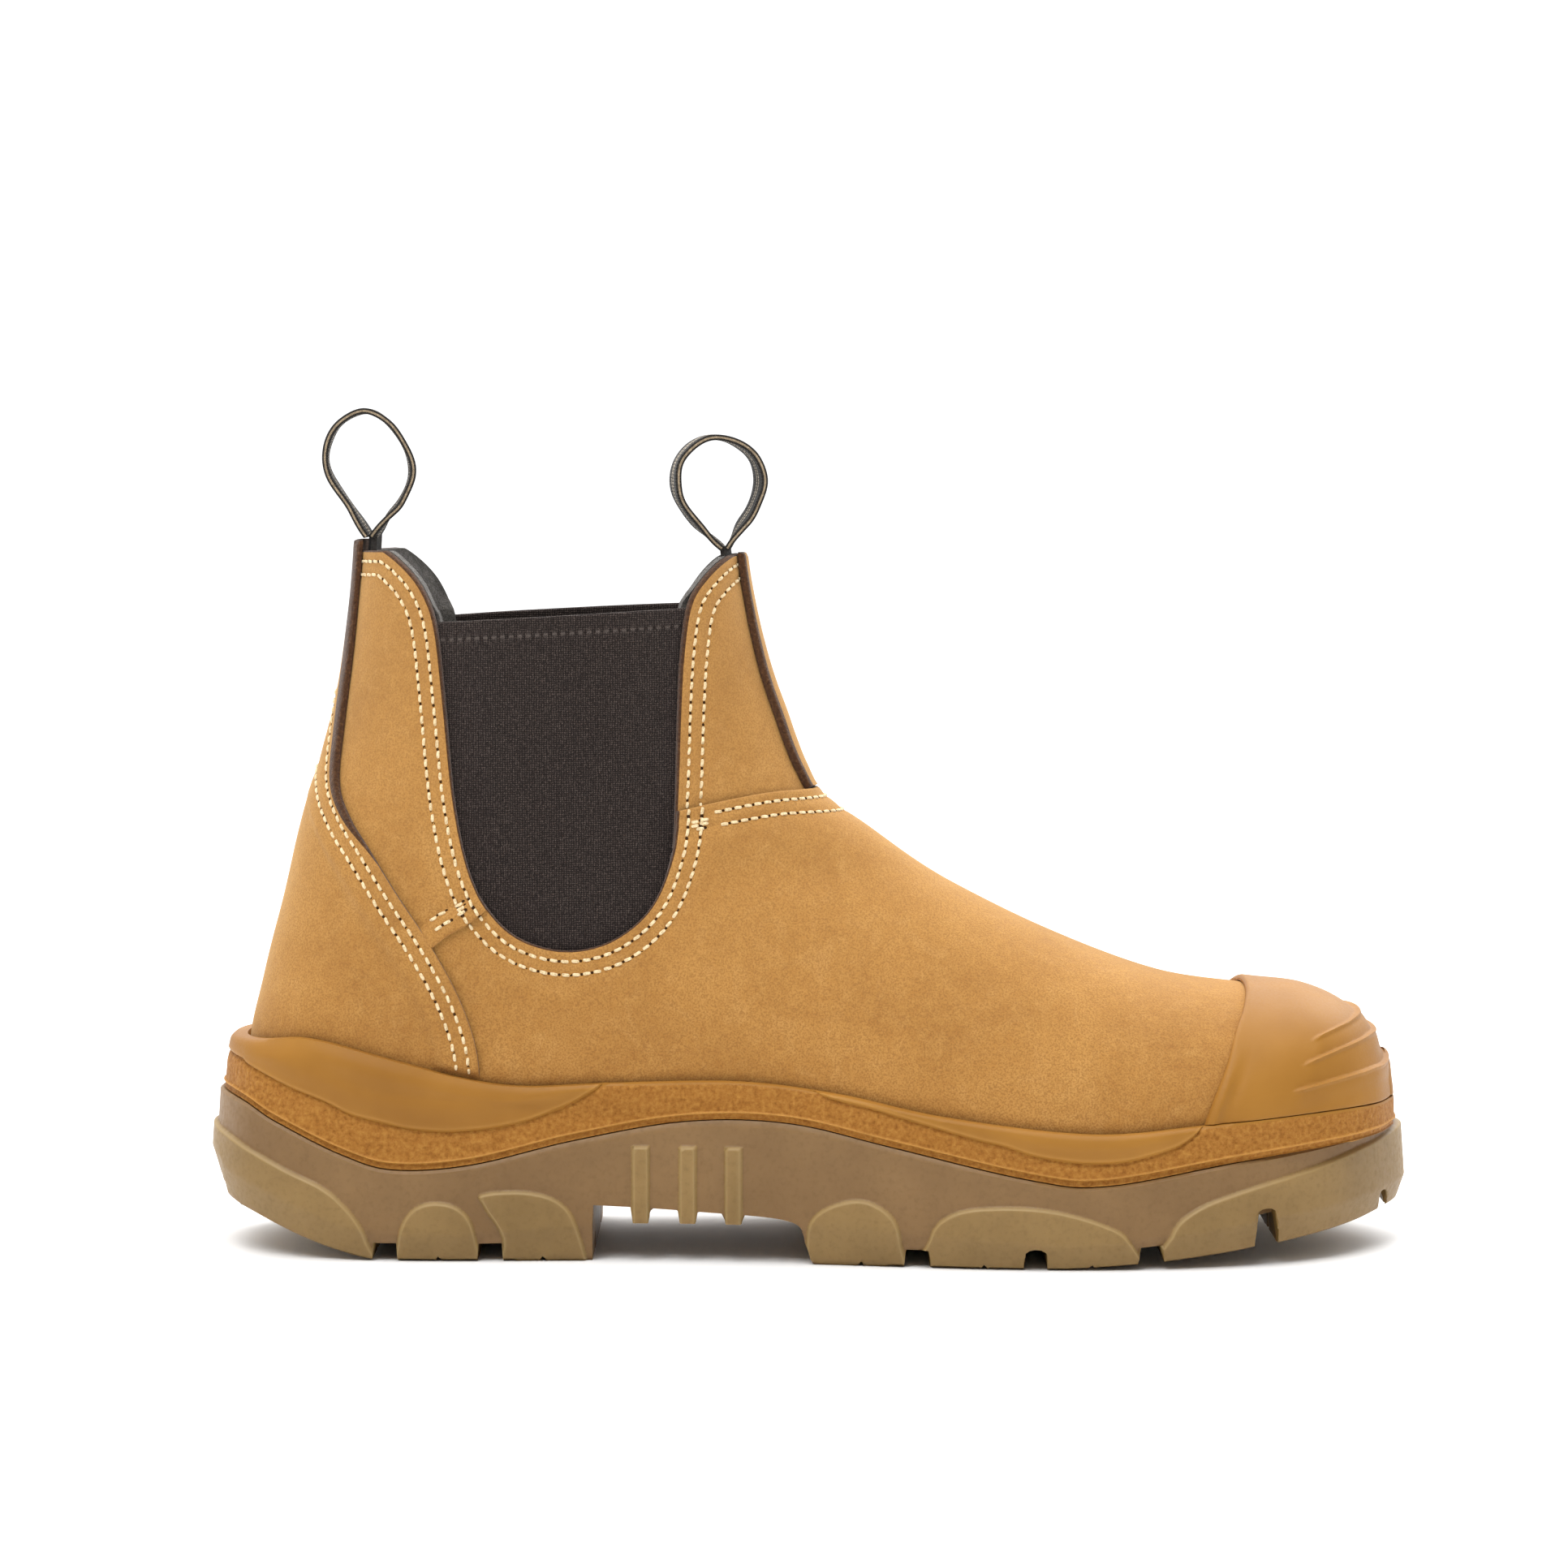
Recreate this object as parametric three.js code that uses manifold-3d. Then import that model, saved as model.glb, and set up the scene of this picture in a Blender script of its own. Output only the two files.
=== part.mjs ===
// Elastic-sided steel toe work boot for a right foot, in millimetres.
// +X points to the toe, +Y to the inner (medial) side and +Z up; the boot stands on Z = 0.
// The upper is a set of layers that follow one lasted surface, each a named distance from it.

import * as THREE from "three";
import { mergeVertices } from "three/addons/utils/BufferGeometryUtils.js";
import Module from "manifold-3d";

const wasm = await Module();
wasm.setup();

// ---- Driving dimensions ----

const bootLength = 310; // heel to toe of the outsole
const bootWidth = 110; // widest part of the outsole
const bootHeight = 184; // floor to the top of the heel tab

const gap = 0.3; // clearance between neighbouring pieces
const leather = 1.8;
const coreSpace = 1.8; // room for caps and elastic between leather and lining
const elastic = 1.5;
const steelCap = 1.7;
const stiffener = 1.5;
const lining = 1.5;
const bumpWall = 3;
const soleWall = 3.2; // moulded wall around the foot of the upper
const lap = 9; // how far one leather piece lies over the next
const lapStep = 1.5; // stretch over which a lapped edge rises
const elasticLap = 8.5; // how far the elastic runs on under the leather
const stayHalfWidth = 9;

const boardThick = 2;
const boardRise = 4; // from the foot of the upper to the underside of the insole board
const footbedThick = 5;
const footbedPlay = 0.6;
const cushionThick = 2.2;
const cushionHalf = { long: 22, wide: 12 };
const shankSize = { rear: 82, front: 176, width: 17, thick: 1.6 };

const outsoleFloor = 8; // tread face to the floor of the outsole's cup
const outsoleWall = 4;
const grooveDepth = 4.6;
const grooveWidth = 6.6;
const channelWidth = 4;
const channelSide = 19; // from the centre line to a lengthwise channel
const channelLength = 282;
const lugProud = 1.2;
const barProud = 1; // bars across the nose of the bump cap
const barHalf = 0.8;

const threadWide = 0.9;
const threadHigh = 0.8;
const webbingThick = 1.4;
const webbingWide = 18;
const loopClear = 1.3; // from the root of a pull loop to its sewn-in tail
const tailLength = 13;
const tailThick = 1.4;
const liningDrop = 1.4; // from the top of the leather to the top of the lining

const facets = { ring: 20, ringsPerStation: 1, soleSide: 18, heightLine: 10, soleLine: 16 };

// The outlines below are drawn for a boot of these sizes and stretched to the ones above.
const drawn = { length: 310, width: 110, height: 184 };
const sx = bootLength / drawn.length;
const sy = bootWidth / drawn.width;
const sz = bootHeight / drawn.height;

// Layers of the upper, as distances outward from the outer leather surface.
const leatherIn = -leather;
const coreOut = leatherIn - gap;
const liningOut = coreOut - coreSpace - gap;
const liningIn = liningOut - lining;
const lapIn = gap;
const lapOut = gap + leather;

// ---- Outlines and lines ----

// Smooth open curve through [x, z] points, as [x, z] pairs.
function curve(points, steps) {
  const spots = points.map(([x, z]) => new THREE.Vector2(x * sx, z * sz));
  return new THREE.SplineCurve(spots).getPoints(steps).map((p) => [p.x, p.y]);
}

// Height along a curve whose x only grows, as a function of x.
function heightAlong(points, steps = 60) {
  const line = curve(points, steps);
  return (x) => {
    if (x <= line[0][0]) return line[0][1];
    for (let i = 1; i < line.length; i += 1) {
      const [x0, z0] = line[i - 1];
      const [x1, z1] = line[i];
      if (x <= x1) return z0 + ((z1 - z0) * (x - x0)) / (x1 - x0);
    }
    return line[line.length - 1][1];
  };
}

// The same open line moved sideways; positive is to the left of its direction.
function shifted(line, distance) {
  return line.map((p, i) => {
    const a = line[Math.max(i - 1, 0)];
    const b = line[Math.min(i + 1, line.length - 1)];
    const long = Math.hypot(b[0] - a[0], b[1] - a[1]);
    return [p[0] - ((b[1] - a[1]) / long) * distance, p[1] + ((b[0] - a[0]) / long) * distance];
  });
}

function ribbon(line, from, to) {
  return [...shifted(line, from), ...shifted(line, to).reverse()];
}

const reach = { rear: -30, front: bootLength + 30, low: -20, high: bootHeight + 60 };

// Underside of the foot of the upper.
const seat = heightAlong([
  [-30, 27.5], [40, 27.5], [85, 27.5], [130, 24.5], [170, 19],
  [205, 16.5], [238, 17.5], [266, 20], [284, 22.3], [300, 25], [340, 29],
]);
const midsoleTop = heightAlong([
  [-30, 54], [9, 54.5], [27, 56], [49, 51], [66, 46.6], [82, 44.4], [106, 45.4], [137, 46],
  [163, 43.2], [189, 38], [226, 34], [255, 36], [287, 38.6], [307, 39], [340, 39],
]);
const outsoleTop = heightAlong([
  [-30, 41], [3.4, 40.5], [18, 34.7], [36, 26.7], [49, 23.2], [69, 24.6], [95, 30.8],
  [124, 35.9], [150, 35.8], [176, 30.3], [211, 22.6], [230, 21.2], [265, 26.9], [307, 31.6], [340, 32],
]);
const roll = heightAlong([
  [-30, 22], [0, 19], [5, 13.6], [14, 10], [26, 5.2], [36, 2], [46, -0.2], [70, -3], [120, -3], [170, -3],
  [215, -0.3], [238, 1.2], [257, 3.2], [274, 5.6], [294, 8.6], [310, 11.2], [340, 14],
]);
const tread = (x) => Math.max(roll(x), 0); // flat on the floor between the rolled heel and toe

// Collar line on the side of the shaft: down the front edge of the elastic, round its foot
// and up its rear edge, with the two leather tips at the ends.
const collar = curve([
  [139.5, 179.6], [134.7, 178.8], [128.5, 173.3], [124.5, 166.5], [122.6, 154], [121.7, 138],
  [121, 118], [119.8, 103], [114.6, 90], [105, 81.8], [93.5, 79], [82, 81.7], [74, 88.5],
  [68.5, 99], [64.6, 117], [61.9, 142], [59.6, 161], [56.2, 170.3], [50.8, 176.8], [43.5, 181.6], [36, 182.6],
], 22);
const throat = curve([[112, 112], [124, 114.6], [135, 116.6], [147, 118], [159, 117.6], [178, 116.4]], 8);
const counterEdge = curve([
  [41, 192], [39.6, 178], [37.6, 156], [35.2, 135], [34.4, 121], [37.5, 112.5], [43, 104.2],
  [50.3, 92.8], [58.5, 80.4], [65.7, 67], [69.9, 54.6], [71, 44], [71.4, 34], [71.5, 20],
], 18);
const quarterSeam = curve([[46, 75], [55, 82], [61, 86.6], [66, 89.4], [73, 95]], 8);
const capEdge = curve([
  [270.4, 84], [269.4, 70], [266.8, 63.5], [263.5, 57.5], [260.6, 50], [257, 42], [254, 34], [250, 20],
], 9);

// ---- Solids ----

function solidOf(geometry) {
  geometry.deleteAttribute("normal");
  geometry.deleteAttribute("uv");
  const merged = mergeVertices(geometry, 1e-4);
  return new wasm.Manifold(
    new wasm.Mesh({
      numProp: 3,
      vertProperties: new Float32Array(merged.attributes.position.array),
      triVerts: new Uint32Array(merged.index.array),
    }),
  );
}

// Outline in the side view, [x, z], filled across from y0 to y1.
function prism(outline, y0 = -bootWidth, y1 = bootWidth) {
  const shape = new THREE.Shape(outline.map(([x, z]) => new THREE.Vector2(x, z)));
  const geometry = new THREE.ExtrudeGeometry(shape, { depth: y1 - y0, bevelEnabled: false });
  geometry.rotateX(Math.PI / 2);
  geometry.translate(0, y1, 0);
  return solidOf(geometry);
}

// Everything between two height lines; a missing line stands for the edge of the drawing.
function between(lower, upper, steps = facets.heightLine) {
  const xs = Array.from({ length: steps + 1 }, (_, i) => reach.rear + ((reach.front - reach.rear) * i) / steps);
  const low = xs.map((x) => [x, lower ? lower(x) : reach.low]);
  const high = xs.map((x) => [x, upper ? upper(x) : reach.high]);
  return prism([...low, ...high.reverse()]);
}

const raised = (line, rise) => (x) => line(x) + rise;

// Closed body through equal rings of points, with each end closed to its middle.
function throughRings(rings) {
  const count = rings[0].length;
  const middle = (ring) => ring.reduce((sum, p) => sum.add(p), new THREE.Vector3()).divideScalar(count);
  const points = [...rings.flat(), middle(rings[0]), middle(rings[rings.length - 1])];
  const first = rings.length * count;
  const faces = [];
  for (let j = 0; j < count; j += 1) {
    const k = (j + 1) % count;
    faces.push(first, j, k);
    faces.push(first + 1, first - count + k, first - count + j);
    for (let i = 0; i + 1 < rings.length; i += 1) {
      const a = i * count;
      const b = a + count;
      faces.push(a + j, b + k, a + k, a + j, b + j, b + k);
    }
  }
  const geometry = new THREE.BufferGeometry().setFromPoints(points);
  geometry.setIndex(faces);
  return solidOf(geometry);
}

// ---- The lasted surface ----

// Cross-sections from the toe to the collar. Each lies in the plane through its top and base
// points; widest is the share of the way down where it is broadest, crown and foot are how
// square it is above and below that.
const stations = [
  { top: [302.6, 47], base: [303, 27.5], lateral: 16, medial: 19, widest: 0.6, crown: 2.2, foot: 2.6 },
  { top: [297.5, 56], base: [297.5, 24.6], lateral: 28.5, medial: 31, widest: 0.66, crown: 2.3, foot: 3.2 },
  { top: [288, 62.3], base: [286, 22.6], lateral: 38, medial: 40, widest: 0.7, crown: 2.3, foot: 3.7 },
  { top: [272, 66.2], base: [266, 20], lateral: 45, medial: 46.5, widest: 0.72, crown: 2.3, foot: 4 },
  { top: [246, 70.4], base: [238, 17.5], lateral: 49.5, medial: 49.5, widest: 0.74, crown: 2.2, foot: 4 },
  { top: [215, 82.3], base: [205, 16.5], lateral: 49, medial: 47.5, widest: 0.75, crown: 2.05, foot: 4 },
  { top: [185, 97.6], base: [170, 19], lateral: 44.5, medial: 41, widest: 0.74, crown: 2, foot: 4 },
  { top: [166.5, 108.8], base: [130, 24.5], lateral: 38.5, medial: 35, widest: 0.7, crown: 2, foot: 4 },
  { top: [156.8, 116.5], base: [85, 27.5], lateral: 36, medial: 33, widest: 0.66, crown: 2, foot: 4 },
  { top: [152.6, 124], base: [42, 27.5], lateral: 35.5, medial: 34, widest: 0.64, crown: 2, foot: 3.6 },
  { top: [149.8, 131], base: [20, 28.4], lateral: 35.5, medial: 34.5, widest: 0.64, crown: 2, foot: 2.9 },
  { top: [147.4, 138], base: [9.3, 48], lateral: 35.2, medial: 34.5, widest: 0.62, crown: 2, foot: 2.5 },
  { top: [144.8, 145], base: [12.6, 70], lateral: 34.8, medial: 34.2, widest: 0.6, crown: 2, foot: 2.3 },
  { top: [142.3, 153], base: [21, 101], lateral: 34.2, medial: 33.8, widest: 0.57, crown: 2, foot: 2.2 },
  { top: [139.6, 164], base: [31.4, 134], lateral: 33.6, medial: 33.3, widest: 0.54, crown: 2.05, foot: 2.1 },
  { top: [137.3, 177], base: [37, 166], lateral: 33.2, medial: 33, widest: 0.53, crown: 2.1, foot: 2.1 },
  { top: [135.6, 194], base: [39, 193], lateral: 33, medial: 33, widest: 0.53, crown: 2.1, foot: 2.1 },
];

// Value at a fractional place in a row of numbers, on a smooth curve through them.
function smoothAt(values, place) {
  const i = Math.min(Math.floor(place), values.length - 2);
  const at = (k) => values[Math.min(Math.max(k, 0), values.length - 1)];
  const [a, b, c, d] = [at(i - 1), at(i), at(i + 1), at(i + 2)];
  const t = place - i;
  return b + 0.5 * t * (c - a + t * (2 * a - 5 * b + 4 * c - d + t * (3 * (b - c) + d - a)));
}

// Half of one section from its top to its base, as [share of the way down, half width] pairs.
function halfSection(width, widest, crown, foot, steps = 160) {
  return Array.from({ length: steps + 1 }, (_, i) => {
    const angle = (Math.PI * i) / steps;
    const upper = angle < Math.PI / 2;
    const power = 2 / (upper ? crown : foot);
    const down = Math.abs(Math.cos(angle)) ** power;
    return [upper ? widest * (1 - down) : widest + (1 - widest) * down, width * Math.sin(angle) ** power];
  });
}

function evenlyAlong(points, count) {
  const lengths = [0];
  for (let i = 1; i < points.length; i += 1) {
    lengths.push(lengths[i - 1] + points[i].distanceTo(points[i - 1]));
  }
  const total = lengths[lengths.length - 1];
  const result = [];
  let k = 1;
  for (let j = 0; j <= count; j += 1) {
    const goal = (total * j) / count;
    while (k < points.length - 1 && lengths[k] < goal) k += 1;
    const share = (goal - lengths[k - 1]) / (lengths[k] - lengths[k - 1]);
    result.push(points[k - 1].clone().lerp(points[k], share));
  }
  return result;
}

function sectionRing(place) {
  const value = (pick) => smoothAt(stations.map(pick), place);
  const top = new THREE.Vector3(value((s) => s.top[0]) * sx, 0, value((s) => s.top[1]) * sz);
  const base = new THREE.Vector3(value((s) => s.base[0]) * sx, 0, value((s) => s.base[1]) * sz);
  const shape = [value((s) => s.widest), value((s) => s.crown), value((s) => s.foot)];
  const half = (width, side) => {
    const points = halfSection(width * sy, ...shape).map(([down, out]) => {
      const point = top.clone().lerp(base, down);
      point.y = side * out;
      return point;
    });
    return evenlyAlong(points, facets.ring / 2);
  };
  const lateral = half(value((s) => s.lateral), -1);
  const medial = half(value((s) => s.medial), 1);
  return [...lateral, ...medial.slice(1, -1).reverse()];
}

const placeCount = (stations.length - 1) * facets.ringsPerStation;
const lastRings = Array.from({ length: placeCount + 1 }, (_, i) => sectionRing(i / facets.ringsPerStation));
const toeTip = new THREE.Vector3(304.4 * sx, 0, 36 * sz);

// The body inside the lasted surface moved outward by a distance.
const inflated = new Map();
function lasted(distance) {
  if (inflated.has(distance)) return inflated.get(distance);
  const count = facets.ring;
  const rings = lastRings.map((ring, i) =>
    ring.map((point, j) => {
      const before = i > 0 ? lastRings[i - 1][j] : toeTip;
      const after = lastRings[Math.min(i + 1, lastRings.length - 1)][j];
      const along = after.clone().sub(before);
      const round = ring[(j + 1) % count].clone().sub(ring[(j - 1 + count) % count]);
      return point.clone().addScaledVector(along.cross(round).normalize(), distance);
    }),
  );
  const tip = toeTip.clone().add(new THREE.Vector3(distance, 0, 0));
  const nose = rings[0].map((point) => point.clone().lerp(tip, 0.5).setX((point.x + 3 * tip.x) / 4));
  const body = throughRings([nose, ...rings]);
  inflated.set(distance, body);
  return body;
}

function layer(inner, outer) {
  return lasted(outer).subtract(lasted(inner));
}

function half(solid, side, from = gap / 2) {
  const box = prism(
    [[reach.rear, reach.low], [reach.front, reach.low], [reach.front, reach.high], [reach.rear, reach.high]],
    side < 0 ? -bootWidth : from,
    side < 0 ? -from : bootWidth,
  );
  return solid.intersect(box);
}

// The largest body of a cut piece; slivers cut off beside it are dropped.
function mainBody(solid) {
  const bodies = solid.decompose();
  return bodies.reduce((best, body) => (body.volume() > best.volume() ? body : best));
}

// ---- Regions of the side view ----

const aboveBoard = between(raised(seat, boardRise), null);
const aboveInsole = between(raised(seat, boardRise + boardThick + gap), null);
const aboveSole = between(raised(midsoleTop, gap), null, facets.soleLine);

const frontCollar = collar.filter(([x, z]) => x > 100 * sx && z > 104 * sz);
const rearCollar = collar.filter(([x, z]) => x < 80 * sx && z > 94 * sz);
const footCollar = collar.filter((p) => !frontCollar.includes(p) && !rearCollar.includes(p));

const underThroat = shifted(throat, -(lap + gap / 2));
const shoulder = 113 * sz; // where the counter cover narrows to the heel stay
const shaftMiddle = 100 * sx; // between the two leather tips of the shaft

// Front panels: from the collar down under the vamp's lapped edge.
const panelRegion = [
  ...frontCollar,
  ...shifted(throat, -(lap - gap / 2)).filter(([x]) => x > frontCollar[frontCollar.length - 1][0]),
  [reach.front, underThroat[underThroat.length - 1][1]],
  [reach.front, frontCollar[0][1]],
];

// Rear quarters: from the collar down to the seam with the vamp.
const quarterRegion = [
  ...rearCollar,
  [reach.rear, rearCollar[rearCollar.length - 1][1]],
  [reach.rear, quarterSeam[0][1]],
  ...shifted(quarterSeam, gap).filter(([x]) => x < 70 * sx),
];

// Vamp: everything below the throat and the quarter seam.
const vampRegion = [
  ...underThroat.filter(([x]) => x > frontCollar[frontCollar.length - 1][0]),
  [reach.front, underThroat[underThroat.length - 1][1]],
  [reach.front, reach.low],
  [reach.rear, reach.low],
  [reach.rear, quarterSeam[0][1]],
  ...quarterSeam.filter(([x]) => x < 70 * sx),
  ...footCollar.slice().reverse(),
];

const stitchedBand = 130.6 * sx; // forward of the stitching beside the elastic
const forward = (line) => line.filter(([x]) => x > stitchedBand);
const throatRim = [...forward(throat), ...forward(shifted(throat, -lap - lapStep)).reverse()];
const throatStep = [...forward(underThroat), ...forward(shifted(throat, -lap - lapStep)).reverse()];

// The part of a falling line below a height, starting exactly at it.
function belowHeight(line, height) {
  const i = line.findIndex(([, z]) => z < height);
  const [x0, z0] = line[i - 1];
  const [x1, z1] = line[i];
  return [[x0 + ((x1 - x0) * (height - z0)) / (z1 - z0), height], ...line.slice(i)];
}

// Counter cover: round the heel, narrowing at the shoulder to a stay up the back of the shaft.
function behind(line, height) {
  const edge = belowHeight(line, height);
  return [...edge, [edge[edge.length - 1][0], reach.low], [reach.rear, reach.low], [reach.rear, height]];
}
const coverMain = behind(shifted(counterEdge, -lap), shoulder);
const coverRoom = behind(shifted(counterEdge, -lap + gap), shoulder + gap);
const coverInside = behind(shifted(counterEdge, -lap - lapStep), shoulder - lapStep);
const coverBehind = [
  ...counterEdge,
  [counterEdge[counterEdge.length - 1][0], reach.low],
  [reach.rear, reach.low],
  [reach.rear, counterEdge[0][1]],
];

const elasticTopRear = 162.6 * sz;
const elasticTopFront = 165.9 * sz;
const elasticTop = (x) => (x > shaftMiddle ? elasticTopFront : elasticTopRear);
const elasticSides = shifted(collar, elasticLap).filter(([x, z]) => z < elasticTop(x));

// Linings meet on these lines.
const heelJoin = curve([[66, 200], [64, 160], [70, 110], [82, 70], [86, 20]], 12);
const lowJoin = heelJoin.filter(([, z]) => z < 96 * sz);

// ---- Upper ----

function vampShape() {
  const main = layer(leatherIn, 0).intersect(prism(vampRegion)).subtract(prism(coverRoom));
  const rim = layer(lapIn, lapOut).intersect(prism(throatRim));
  const step = layer(leatherIn, lapOut).intersect(prism(throatStep));
  return mainBody(main.add(rim).add(step).intersect(aboveBoard));
}

function counterCoverShape() {
  const main = layer(leatherIn, 0).intersect(prism(coverMain)).intersect(aboveBoard);
  const top = between(null, () => collar[collar.length - 1][1]);
  const rim = layer(lapIn, lapOut).intersect(prism(coverBehind)).intersect(top);
  const step = layer(leatherIn, lapOut).intersect(prism(coverMain));
  const lapped = rim.add(step).subtract(prism(coverInside)).intersect(aboveSole);
  return mainBody(main.add(lapped));
}

function frontStayShape() {
  const foot = shifted(throat, gap);
  const outline = [...foot.filter(([x]) => x > shaftMiddle), [reach.front, foot[foot.length - 1][1]],
    [reach.front, collar[0][1]], [shaftMiddle, collar[0][1]]];
  return mainBody(layer(lapIn, lapOut).intersect(prism(outline, -stayHalfWidth, stayHalfWidth)));
}

function elasticShape(side) {
  const whole = layer(coreOut - elastic, coreOut).intersect(prism(elasticSides));
  return mainBody(half(whole, side));
}

function liningShape(outline, solid = layer(liningIn, liningOut)) {
  return mainBody(solid.intersect(prism(outline)).intersect(aboveInsole));
}

function rearLiningShape() {
  const top = [[reach.rear, rearCollar[rearCollar.length - 1][1] - liningDrop], ...rearCollar.slice().reverse()];
  const low = lowJoin.map(([x, z]) => [x - gap, z]);
  return liningShape([...top, ...low, [low[low.length - 1][0], reach.low], [reach.rear, reach.low]]);
}

const liningSeam = 107 * sz; // height at which the vamp lining and the front lining meet

function vampLiningShape() {
  const [joinX] = lowJoin[0];
  const under = shifted(collar, -elasticLap * 0.4).filter(([x, z]) => z < liningSeam && x > joinX);
  const outline = [[reach.front, liningSeam], [reach.front, reach.low], [lowJoin[lowJoin.length - 1][0], reach.low],
    ...lowJoin.slice().reverse(), ...footCollar.slice().reverse().filter(([x]) => x > joinX),
    [under[0][0], liningSeam]];
  return liningShape(outline);
}

function frontLiningShape() {
  const top = collar[0][1] - liningDrop;
  const edge = frontCollar.filter(([, z]) => z > liningSeam + gap && z < top);
  return liningShape([[edge[0][0], top], ...edge, [edge[edge.length - 1][0], liningSeam + gap],
    [reach.front, liningSeam + gap], [reach.front, top]]);
}

function stiffenerShape() {
  const outline = curve([[-30, 92], [12, 94], [34, 88], [50, 74], [60, 58], [63, 40], [63, 15]], 18);
  outline.push([reach.rear, reach.low]);
  return mainBody(layer(coreOut - stiffener, coreOut).intersect(prism(outline)).intersect(aboveInsole));
}

const capBack = curve([[252, 90], [249, 68], [246, 50], [242, 34], [238, 10]], 8);

function steelCapShape() {
  const outline = [...capBack, [reach.front, reach.low], [reach.front, reach.high]];
  return mainBody(layer(coreOut - steelCap, coreOut).intersect(prism(outline)).intersect(aboveInsole));
}

function capStripShape() {
  const strip = ribbon(capBack, -gap, -8);
  return mainBody(layer(coreOut - steelCap, coreOut).intersect(prism(strip)).intersect(aboveInsole));
}

function bumpCapShape() {
  const outline = [...capEdge, [reach.front, reach.low], [reach.front, reach.high]];
  let cap = layer(gap, gap + bumpWall).intersect(prism(outline)).intersect(aboveSole);
  const bars = [
    [[282, 54.8], [292, 57], [320, 59]], [[280, 49.2], [292, 51.8], [320, 53.8]],
    [[278, 43.2], [292, 46.4], [320, 48.8]],
  ];
  for (const bar of bars) {
    const run = prism(ribbon(curve(bar, 2), -barHalf, barHalf));
    const proud = layer(gap + bumpWall / 2, gap + bumpWall + barProud).intersect(run);
    cap = cap.add(proud.intersect(aboveSole));
  }
  return mainBody(cap);
}

// ---- Sole unit ----

const soleLateral = [[0, 0], [3, 16], [12, 29], [30, 38], [60, 41], [95, 40.5], [125, 41.5], [160, 47],
  [200, 54], [235, 55.2], [265, 50], [288, 38], [303, 20], [310, 0]];
const soleMedial = [[0, 0], [3, 16], [12, 28], [30, 36.5], [60, 38.5], [95, 36.5], [125, 37], [160, 42.5],
  [200, 51.5], [235, 54.8], [265, 51], [288, 40.5], [303, 22], [310, 0]];

function soleSide(points, side) {
  const spots = points.map(([x, y]) => new THREE.Vector2(x * sx, y * side * sy));
  return new THREE.SplineCurve(spots).getPoints(facets.soleSide);
}

// Plan outline of the sole, in pairs of equal rank on the two sides.
const soleOutline = [...soleSide(soleLateral, -1), ...soleSide(soleMedial, 1).slice(1, -1).reverse()];

function soleRing(inset, height) {
  const count = soleOutline.length;
  return soleOutline.map((p, i) => {
    const a = soleOutline[(i - 1 + count) % count];
    const b = soleOutline[(i + 1) % count];
    const long = Math.hypot(b.x - a.x, b.y - a.y);
    const x = p.x - ((b.y - a.y) / long) * inset;
    const y = p.y + ((b.x - a.x) / long) * inset;
    return new THREE.Vector3(x, y, height(x));
  });
}

// A slab whose walls pass through the sole outline at each level, open to any surface line.
function soleSlab(levels) {
  const rings = levels.map(({ inset, height }) => soleRing(inset, height));
  const count = soleOutline.length;
  const points = rings.flat();
  const faces = [];
  for (let i = 0; i + 1 < rings.length; i += 1) {
    for (let j = 0; j < count; j += 1) {
      const k = (j + 1) % count;
      const a = i * count;
      const b = a + count;
      faces.push(a + j, a + k, b + k, a + j, b + k, b + j);
    }
  }
  const top = (rings.length - 1) * count;
  for (let j = 0; j < count / 2; j += 1) {
    const [a, b, c, d] = [j, j + 1, (count - j - 1) % count, (count - j) % count];
    if (b !== c) {
      faces.push(a, c, b);
      faces.push(top + a, top + b, top + c);
    }
    if (j > 0) {
      faces.push(a, d, c);
      faces.push(top + a, top + c, top + d);
    }
  }
  const geometry = new THREE.BufferGeometry().setFromPoints(points);
  geometry.setIndex(faces);
  return solidOf(geometry);
}

const mixed = (low, high, share) => (x) => low(x) + (high(x) - low(x)) * share;

const lugOutlines = [
  [[-5, 12], [-5, 32], [4, 31], [12, 27.5], [22, 23], [32, 18.5], [39, 12], [42.8, 5], [43, -5], [0, -5]],
  [[50.5, -5], [49.8, 6], [53, 13], [59, 15.6], [66, 14], [70, 8], [70, -5]],
  [[77, -5], [76.4, 6], [72, 13.5], [71, 17.5], [82, 18.4], [91, 16], [96, 9.5], [97.5, -5]],
  [[157, -5], [154, 8], [158, 14.5], [168, 17.4], [176, 13.5], [178.8, 6], [178.8, -5]],
  [[185.6, -5], [185, 8], [190, 14], [199, 16.2], [214, 16], [228, 12.6], [236, 7.5], [237.5, -5]],
  [[244.6, -5], [245.5, 9], [252, 15.6], [264, 20], [282, 24.5], [300, 29], [318, 30], [318, -5]],
];
const grooveMiddles = [46.7, 73.6, 182.2, 241.2];
const notches = [{ at: 212, wide: 6, top: 5.5 }, { at: 271.5, wide: 5.4, top: 12 }, { at: 303.5, wide: 3, top: 15.5 }];
const waist = [[99.6, -30], [99.6, 14.5], [126, 13], [150, 11], [154, 5], [156, -30]];
const waistRibs = [112, 124, 135.7];
const waistRibWide = 5.2;

const stretched = (outline) => outline.map(([x, z]) => [x * sx, z * sz]);
const upright = (middle, wide, low, high) => [
  [middle - wide / 2, low], [middle + wide / 2, low], [middle + wide / 2, high], [middle - wide / 2, high],
];
const waistRise = heightAlong([
  [-30, 0], [80, 0], [92, 2], [99, 12], [110, 14], [135, 12.5], [150, 10.5], [158, 4], [168, 0], [340, 0],
]);
const cupFloor = (x) => tread(x) + waistRise(x) + outsoleFloor;

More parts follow.
